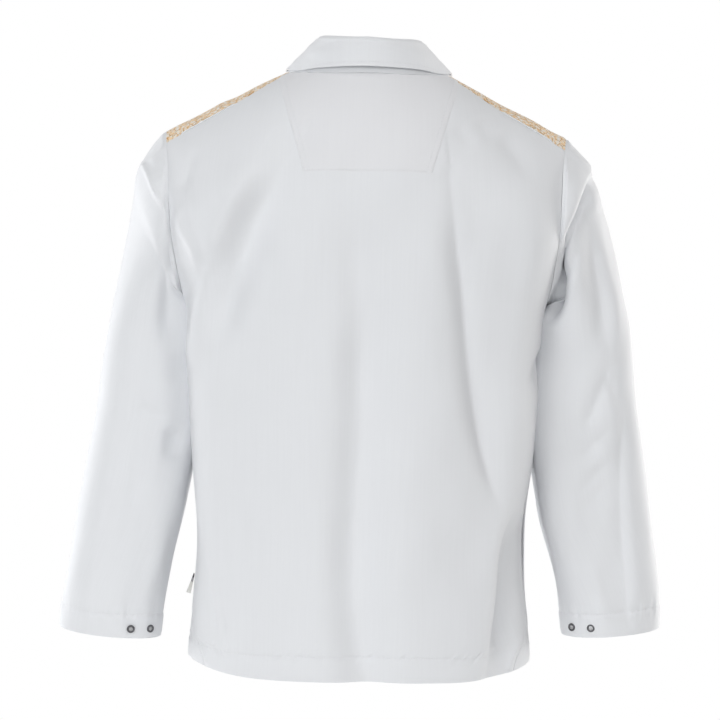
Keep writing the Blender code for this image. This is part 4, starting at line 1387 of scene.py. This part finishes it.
def trunk_relief(points, side):
    """How far the trunk's cloth stands out from its plain form."""
    x, z = points[..., 0], points[..., 2]
    relief = creased(x, z, BACK_CREASES if side > 0 else FRONT_CREASES)
    # Worn cloth hangs flatter than the plain round form, and turns faster at the sides
    across = np.abs(x) / np.abs(x).max(axis=1, keepdims=True)
    corners = np.exp(-(((across - CORNER_AT) / CORNER_WIDTH) ** 2))
    corners = corners * (1 - np.exp(-(((1 - across) / SIDE_FADE) ** 2)))
    corners *= soft_step(side * points[..., 1], 0.0, FLANK_FADE)
    up = np.where(x > 0, window(z, *LEFT_CORNER_HEIGHTS), window(z, *RIGHT_CORNER_HEIGHTS))
    relief += TRUNK_CORNERS * corners * up
    relief += uneven(x, z, 11 + side, size=0.105, height=0.0009)
    # At the shoulders, the armholes and the vents it lies as plainly as what it meets
    down = lengths_along(points, 0)
    in_from_side = (1 - across) * np.abs(x).max(axis=1, keepdims=True)
    above = soft_step(z, UNDERARM_Z - HELD_FADE, UNDERARM_Z + HELD_FADE)
    below = soft_step(-z, -VENT_TOP_Z, VENT_FADE - VENT_TOP_Z)
    turned = 1 - soft_step(side * points[..., 1], *TURNED_SPAN)
    held = (1 - soft_step(in_from_side, 0.0, HELD_SIDE)) * (above + below) + turned * below
    held += 1 - soft_step(down[-1:] - down, 0.0, HELD_TOP)
    return relief * (1 - HELD_SHARE * np.minimum(held, 1))


def edge_relief(points):
    """The dip where a panel's top and side edges are sewn in."""
    along = lengths_along(points, 0)
    across = lengths_along(points, 1)
    relief = groove(along[-1:] - along, SEAM_DIP, SEAM_REACH)
    relief += groove(across, SEAM_DIP, SEAM_REACH)
    return relief + groove(across[:, -1:] - across, SEAM_DIP, SEAM_REACH)


def hem_relief(points, seed, from_end=False):
    """The dip of a hem's stitch line, the thicker band beside it and the ripples across it."""
    along = lengths_along(points, 0)
    if from_end:
        along = along[-1:] - along
    across = lengths_along(points, 1)
    off_line = along - HEM_DEPTH
    relief = groove(off_line, depth=0.0004, width=0.0016)
    relief += HEM_BAND_RISE * soft_step(-off_line, *HEM_BAND_SPAN) * soft_step(along, 0.0, HEM_EDGE)
    return relief + puckers(across, off_line, seed, pitch=0.010, height=0.0006, reach=0.010)


def trunk_surface(side, seed):
    """A panel's form, normals, relief without its edges, finished points and turned hem."""
    form = trunk_grid(side)
    normals = grid_normals(form, -side)
    base = trunk_relief(form, side)
    relief = base + edge_relief(form) + hem_relief(form, seed)
    return form, normals, base, raised(form, normals, relief), lengths_along(form, 0) < HEM_DEPTH


back_form, back_normals, back_base, back_points, back_hem = trunk_surface(1, seed=3)
back = cloth_piece("back_cloth", back_points, -1, cloth_look, CLOTH, doubled=back_hem)
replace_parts(back, "back")

front_form, front_normals, _, front_points, front_hem = trunk_surface(-1, seed=5)
slit_column = front_form.shape[1] // 2 - 1
slit_row = int(np.argmax(front_form[:, 0, 2] >= UNDERARM_Z - 1e-9))
front = cloth_piece(
    "front_cloth", front_points, 1, cloth_look, CLOTH,
    weld=(slit_column, slit_row), doubled=front_hem,
)
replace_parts(front, "front")

# The neck panel is the block of the back's points under the collar, moved out

centre = back_form.shape[1] // 2
panel_top_row = back_form.shape[0] - 1
panel_first_row = panel_top_row - (len(spaced(UPPER_ROWS, end=True)) - 1)
panel_columns = slice(centre - PANEL_COLUMNS, centre + PANEL_COLUMNS + 1)
panel_block = (slice(panel_first_row, panel_top_row), panel_columns)
panel_form = back_form[panel_block]
panel_normals = back_normals[panel_block]
panel_along = lengths_along(panel_form, 0)
panel_across = lengths_along(panel_form, 1)
from_side = np.minimum(panel_across, panel_across[:, -1:] - panel_across)
from_end = np.minimum(from_side, panel_along)
below_top = panel_along[-1:] - panel_along
panel_relief = back_base[panel_block] + GAP + PANEL_SHOWN
panel_relief += groove(from_end, depth=GAP + PANEL_SHOWN - 0.00008, width=0.0026)
panel_relief += groove(from_side - PANEL_LINE, depth=0.0003, width=0.0012)
panel_relief -= groove(from_side - PANEL_LINE / 2, depth=0.00035, width=0.0026)
panel_relief += groove(panel_along - PANEL_EDGE_LINE, depth=0.0002, width=0.0012)
panel_relief += puckers(panel_across, below_top, 9, pitch=0.012, height=0.0006, reach=0.016)
panel_points = raised(panel_form, panel_normals, panel_relief)
neck_panel = cloth_piece(
    "back_neck_panel_cloth", panel_points, -1, panel_look, PANEL_SHOWN
)
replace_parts(neck_panel, "back_neck_panel")

# Yokes, sleeves and collar


def sleeve_corners(form, sign):
    """A flatter back and front for the sleeve, and the folds where it rests on the trunk."""
    angles = np.linspace(0, 2 * math.pi, form.shape[1], endpoint=False)
    outward, backward = np.cos(angles), np.sin(angles)
    plain = np.abs(outward) ** SLEEVE_SQUARENESS + np.abs(backward) ** SLEEVE_SQUARENESS
    corner = SLEEVE_RADIUS * (plain ** (-1 / SLEEVE_SQUARENESS) - 1)
    down = -form[..., 2]
    inner = window(down, *(LEFT_INNER_DEPTHS if sign > 0 else RIGHT_INNER_DEPTHS))
    outer = window(down, *OUTER_CORNER_DEPTHS)
    start, height = LEFT_ARM_FOLD if sign > 0 else RIGHT_ARM_FOLD
    from_fold = np.abs(np.abs(angles - math.pi) - ARM_FOLD_ANGLE)
    beside = height * np.exp(-((from_fold / ARM_FOLD_WIDTH) ** 2))
    beside = beside * window(down, start, start + ARM_FOLD_FADE, *ARM_FOLD_END)
    resting = np.exp(-(((angles - math.pi) / ARM_REST_WIDTH) ** 2)) * window(down, *ARM_REST_DEPTHS)
    return corner * np.where(outward < 0, inner, outer) + beside + ARM_REST_HEIGHT * resting


def yoke_relief(form, sign):
    across = lengths_along(form, 0)
    inside = np.minimum(across, across[-1:] - across)
    relief = uneven(form[..., 0], form[..., 1], 21 + sign, size=0.06, height=0.0004)
    relief *= soft_step(inside, 0.0, PLAIN_BY_SEAM)
    return relief + edge_relief(form) + groove(across, SEAM_DIP, SEAM_REACH)


def sleeve_relief(form, normals, sign):
    """The sleeve's own creases on its back, and the other sleeve's, mirrored, on its front."""
    x, z = form[..., 0], form[..., 2]
    own = LEFT_SLEEVE_CREASES if sign > 0 else RIGHT_SLEEVE_CREASES
    other = RIGHT_SLEEVE_CREASES if sign > 0 else LEFT_SLEEVE_CREASES
    behind = soft_step(normals[..., 1], *SIDE_BLEND)
    before = soft_step(-normals[..., 1], *SIDE_BLEND)
    relief = creased(x, z, own) * behind + creased(-x, z, other) * before
    relief += uneven(x + form[..., 1], z, 31 + sign, size=0.085, height=0.0008)
    relief += sleeve_corners(form, sign)
    along = lengths_along(form, 0)
    around = lengths_along(form, 1)
    # The cloth lies plain at its seam, and the right underarm's deep fold starts right there
    turn_in = CAP_TURN_IN
    if sign < 0:
        turn_in = turn_in - WEDGE_TURN_IN * behind * window(-z, *WEDGE_DEPTHS)
    relief *= CAP_SHARE + (1 - CAP_SHARE) * soft_step(along, 0.0, turn_in)
    relief += groove(along, SEAM_DIP, SEAM_REACH)
    relief -= groove(along - CAP_ROLL_AT, depth=0.0006, width=0.004)
    relief += puckers(around, along, 41 + sign, pitch=0.017, height=0.0004, reach=0.014)
    relief *= CUFF_SHARE + (1 - CUFF_SHARE) * soft_step(along[-1:] - along, 0.0, HEM_DEPTH)
    return relief + hem_relief(form, 51 + sign, from_end=True)


sleeves = {}
for name, sign in (("left", 1), ("right", -1)):
    form = yoke_grid(sign)
    normals = grid_normals(form, sign)
    points = raised(form, normals, yoke_relief(form, sign))
    yoke = cloth_piece(
        f"shoulder_yoke_{name}_cloth", points, sign, printed_look, CLOTH
    )
    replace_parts(yoke, f"shoulder_yoke_{name}")

    form = ring_grid(sign)
    normals = grid_normals(form, -sign, ring=True)
    points = raised(form, normals, sleeve_relief(form, normals, sign))
    along = lengths_along(form, 0)
    cuff = along[-1:] - along < HEM_DEPTH
    sleeve = cloth_piece(
        f"sleeve_{name}_cloth", points, -sign, cloth_look, CLOTH,
        ring=True, doubled=cuff,
    )
    sleeves[name] = (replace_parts(sleeve, f"sleeve_{name}"), points, normals)

stand_points = stand_grid()
stand_normals = grid_normals(stand_points, -1)
below = stand_points[0] - stand_points[1]
stand_points[0] += below * STAND_FOOT / np.linalg.norm(below, axis=1, keepdims=True)
outward = -groove(lengths_along(stand_points, 0), STAND_FOOT_OUT, STAND_FOOT_REACH)
stand_points = raised(stand_points, stand_normals, outward)
stand_foot = lengths_along(stand_points, 0) < STAND_FOOT_DOUBLED
stand = cloth_piece(
    "collar_stand_cloth", stand_points, -1, cloth_look, COLLAR_CLOTH, doubled=stand_foot
)
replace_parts(stand, "collar_stand")

fall_form = fall_grid()
fall_normals = grid_normals(fall_form, 1)
fall_down = lengths_along(fall_form, 0)
fall_across = lengths_along(fall_form, 1)
fall_behind = soft_step(fall_normals[..., 1], *COLLAR_BLEND)
fall_relief = uneven(fall_across, fall_down, 61, size=0.08, height=0.0003)
fall_relief *= soft_step(fall_down, 0.0, PLAIN_BY_SEAM)
fall_relief += groove(fall_down[-1:] - fall_down - COLLAR_LINE, depth=0.0002, width=0.0012)
fall_relief += creased(fall_form[..., 0], fall_form[..., 2], COLLAR_CREASES) * fall_behind
fall_relief -= FALL_TUCK * soft_step(fall_down / fall_down[-1:], 0.5, 1.0) * fall_behind
fall_points = raised(fall_form, fall_normals, fall_relief)
fall = cloth_piece("collar_fall_cloth", fall_points, 1, cloth_look, COLLAR_CLOTH)
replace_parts(fall, "collar_fall")


# Stitches

lower = slice(0, int(np.argmax(back_form[:, 0, 2] > VENT_TOP_Z)) + 1)
back_stitches = stitch_piece(
    "back_stitches", (back_points, back_normals),
    [(0, HEM_DEPTH), (1, VENT_LINE, lower), (1, -VENT_LINE, lower)],
)
slit_part = slice(slit_row + 4, -3)
front_stitches = stitch_piece(
    "front_stitches", (front_points, front_normals),
    [
        (0, HEM_DEPTH),
        (0, -EDGE_LINE, slice(0, slit_column - 2)),
        (0, -EDGE_LINE, slice(slit_column + 4, None)),
        (1, -EDGE_LINE, slit_part, slice(0, slit_column + 1)),
        (1, EDGE_LINE, slit_part, slice(slit_column + 1, None)),
    ],
)
panel_places = [(1, at) for at in (PANEL_EDGE_LINE, -PANEL_EDGE_LINE, PANEL_LINE, -PANEL_LINE)]
panel_stitches = stitch_piece(
    "neck_panel_stitches", (panel_points, panel_normals), [*panel_places, (0, PANEL_EDGE_LINE)]
)
leaf = slice(ROLL_ROWS, None)
collar_stitches = stitch_piece(
    "collar_stitches", (fall_points, fall_normals),
    [(0, -COLLAR_LINE), (1, COLLAR_LINE, leaf), (1, -COLLAR_LINE, leaf)],
)

for name, (sleeve, *surface) in sleeves.items():
    lines = [(0, CAP_LINE), (0, -HEM_DEPTH)]
    stitches = stitch_piece(f"sleeve_{name}_stitches", surface, lines, closed=True)

# Studs and label


def stud(name, sign, angle, looks):
    """A turned ring with a rolled rim, and a socket with a small ball in it."""
    last = sleeve_point(sign, SLEEVE_LAST, angle)
    before = sleeve_point(sign, SLEEVE_LAST - 1, angle)
    ring = SLEEVE_LAST - STUD_ABOVE_HEM / (last - before).length
    normal = sleeve_normal(sign, ring, angle)
    points = []
    for radius, height in STUD_PROFILE:
        for i in range(STUD_SIDES):
            turn = 2 * math.pi * i / STUD_SIDES
            points.append((radius * math.cos(turn), radius * math.sin(turn), height))
    quads = grid_quads(len(STUD_PROFILE), STUD_SIDES, 1, ring=True).tolist()
    points += [(0, 0, 0), (0, 0, STUD_PROFILE[-1][1])]
    top = (len(STUD_PROFILE) - 1) * STUD_SIDES
    faces = list(quads)
    for i in range(STUD_SIDES):
        after = (i + 1) % STUD_SIDES
        faces.append((after, i, len(points) - 2))
        faces.append((top + i, top + after, len(points) - 1))
    mesh = bpy.data.meshes.new(name)
    mesh.from_pydata(points, [], faces)
    mesh.shade_smooth()
    mesh.set_sharp_from_angle(angle=STUD_SHARP)
    for look in looks:
        mesh.materials.append(look)
    socket = STUD_SOCKET_RING * STUD_SIDES
    for face in mesh.polygons:
        inside = min(face.vertices) >= socket
        face.material_index = int(inside)
    mesh.transform(normal.to_track_quat("Z", "Y").to_matrix().to_4x4())
    place = sleeve_point(sign, ring, angle) + normal * STUD_LIFT
    mesh.transform(Matrix.Translation(place))
    made = shown_object(f"{name}_turned", mesh)
    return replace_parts(made, name)


ring_look = metal("stud_ring", (0.17, 0.17, 0.18), 0.34)
socket_look = metal("stud_socket", (0.62, 0.62, 0.63), 0.40)
for name, sign in (("left", 1), ("right", -1)):
    for place, angle in STUD_ANGLES:
        stud(f"cuff_stud_{name}_{place}", sign, angle, (ring_look, socket_look))


def label_grid():
    """The face of a blank folded tape, which swings and curls out beside the side seam."""
    rows = []
    for i in range(LABEL_ROWS + 1):
        z = LABEL_TOP_Z - LABEL_HEIGHT * i / LABEL_ROWS
        row = []
        for j in range(LABEL_COLUMNS + 1):
            share = 1 - j / LABEL_COLUMNS
            x = half_width(z) - LABEL_TUCK * (1 - share)
            y = LABEL_FROM_SEAM + LABEL_WIDTH * share
            across = (1 - (y / back_depth(z)) ** SQUARENESS) ** (1 / SQUARENESS)
            turned = math.sin(math.pi * min(share + LABEL_CURL_SHIFT, 1.0))
            curl = LABEL_CURL * (i / LABEL_ROWS) ** 2 * turned
            lower = LABEL_TOP_SWING + (1 - LABEL_TOP_SWING) * i / LABEL_ROWS
            swing = LABEL_SWING * lower * (1 - LABEL_FOLD_SWING * share)
            row.append((x * across + LABEL_STAND_OFF + curl + swing, y, z))
        rows.append(row)
    return np.array(rows)


label = cloth_piece("side_label_tape", label_grid(), 1, tape(), LABEL_CLOTH)
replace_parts(label, "side_label")

# Stage and light

MIDDLE = (0.0, 0.0, -0.36)


def aimed(name, place, energy, size, colour=(1, 1, 1)):
    """A round soft lamp turned to the middle of the tunic, in watts and metres."""
    lamp = bpy.data.lights.new(name, "AREA")
    lamp.energy = energy
    lamp.color = colour
    lamp.shape = "DISK"
    lamp.size = size
    made = bpy.data.objects.new(name, lamp)
    bpy.context.scene.collection.objects.link(made)
    made.location = place
    made.rotation_mode = "QUATERNION"
    made.rotation_quaternion = (Vector(MIDDLE) - Vector(place)).to_track_quat("-Z", "Y")
    return made


aimed("key", (1.85, 2.35, 0.1), 36, 2.0, (0.975, 0.99, 1.0))
aimed("front", (0.2, 2.9, -0.3), 11, 1.6, (0.975, 0.99, 1.0))
aimed("right", (-1.8, 2.1, 0.8), 19, 1.5, (1.0, 0.99, 0.975))
aimed("left_rim", (2.1, -1.0, -0.3), 36, 1.2)
aimed("right_rim", (-2.1, -1.0, -0.3), 38, 1.2, (1.0, 0.985, 0.96))
aimed("top", (-0.2, 1.0, 2.2), 15, 1.5)
aimed("before", (0.3, -2.8, 0.6), 11, 1.6)

world = bpy.data.worlds.new("studio")
bpy.context.scene.world = world
world.use_nodes = True
sky = world.node_tree
ambient = sky.nodes["Background"]
fill(ambient, {"Color": (1.0, 0.99, 0.975, 1.0), "Strength": 0.16})
backdrop = sky.nodes.new("ShaderNodeBackground")
backdrop.inputs["Color"].default_value = (1.0, 1.0, 1.0, 1.0)
seen = sky.nodes.new("ShaderNodeLightPath")
choose = sky.nodes.new("ShaderNodeMixShader")
sky.links.new(seen.outputs["Is Camera Ray"], choose.inputs["Fac"])
sky.links.new(ambient.outputs["Background"], choose.inputs[1])
sky.links.new(backdrop.outputs["Background"], choose.inputs[2])
sky.links.new(choose.outputs["Shader"], sky.nodes["World Output"].inputs["Surface"])

bpy.context.scene.view_settings.view_transform = "Standard"
bpy.context.scene.view_settings.look = "None"

FLOOR_Z = -1.15
FLOOR_RADIUS = 1.6
FLOOR_SIDES = 96
floor_mesh = bpy.data.meshes.new("floor")
turns = [2 * math.pi * i / FLOOR_SIDES for i in range(FLOOR_SIDES)]
rim = [(FLOOR_RADIUS * math.cos(t), FLOOR_RADIUS * math.sin(t), FLOOR_Z) for t in turns]
floor_mesh.from_pydata(rim, [], [range(FLOOR_SIDES)])
floor = bpy.data.objects.new("floor", floor_mesh)
bpy.context.scene.collection.objects.link(floor)
floor_look, _, floor_shader = nodes_of("floor")
fill(floor_shader, {"Base Color": (0.9, 0.9, 0.9, 1.0), "Roughness": 0.9})
floor_mesh.materials.append(floor_look)
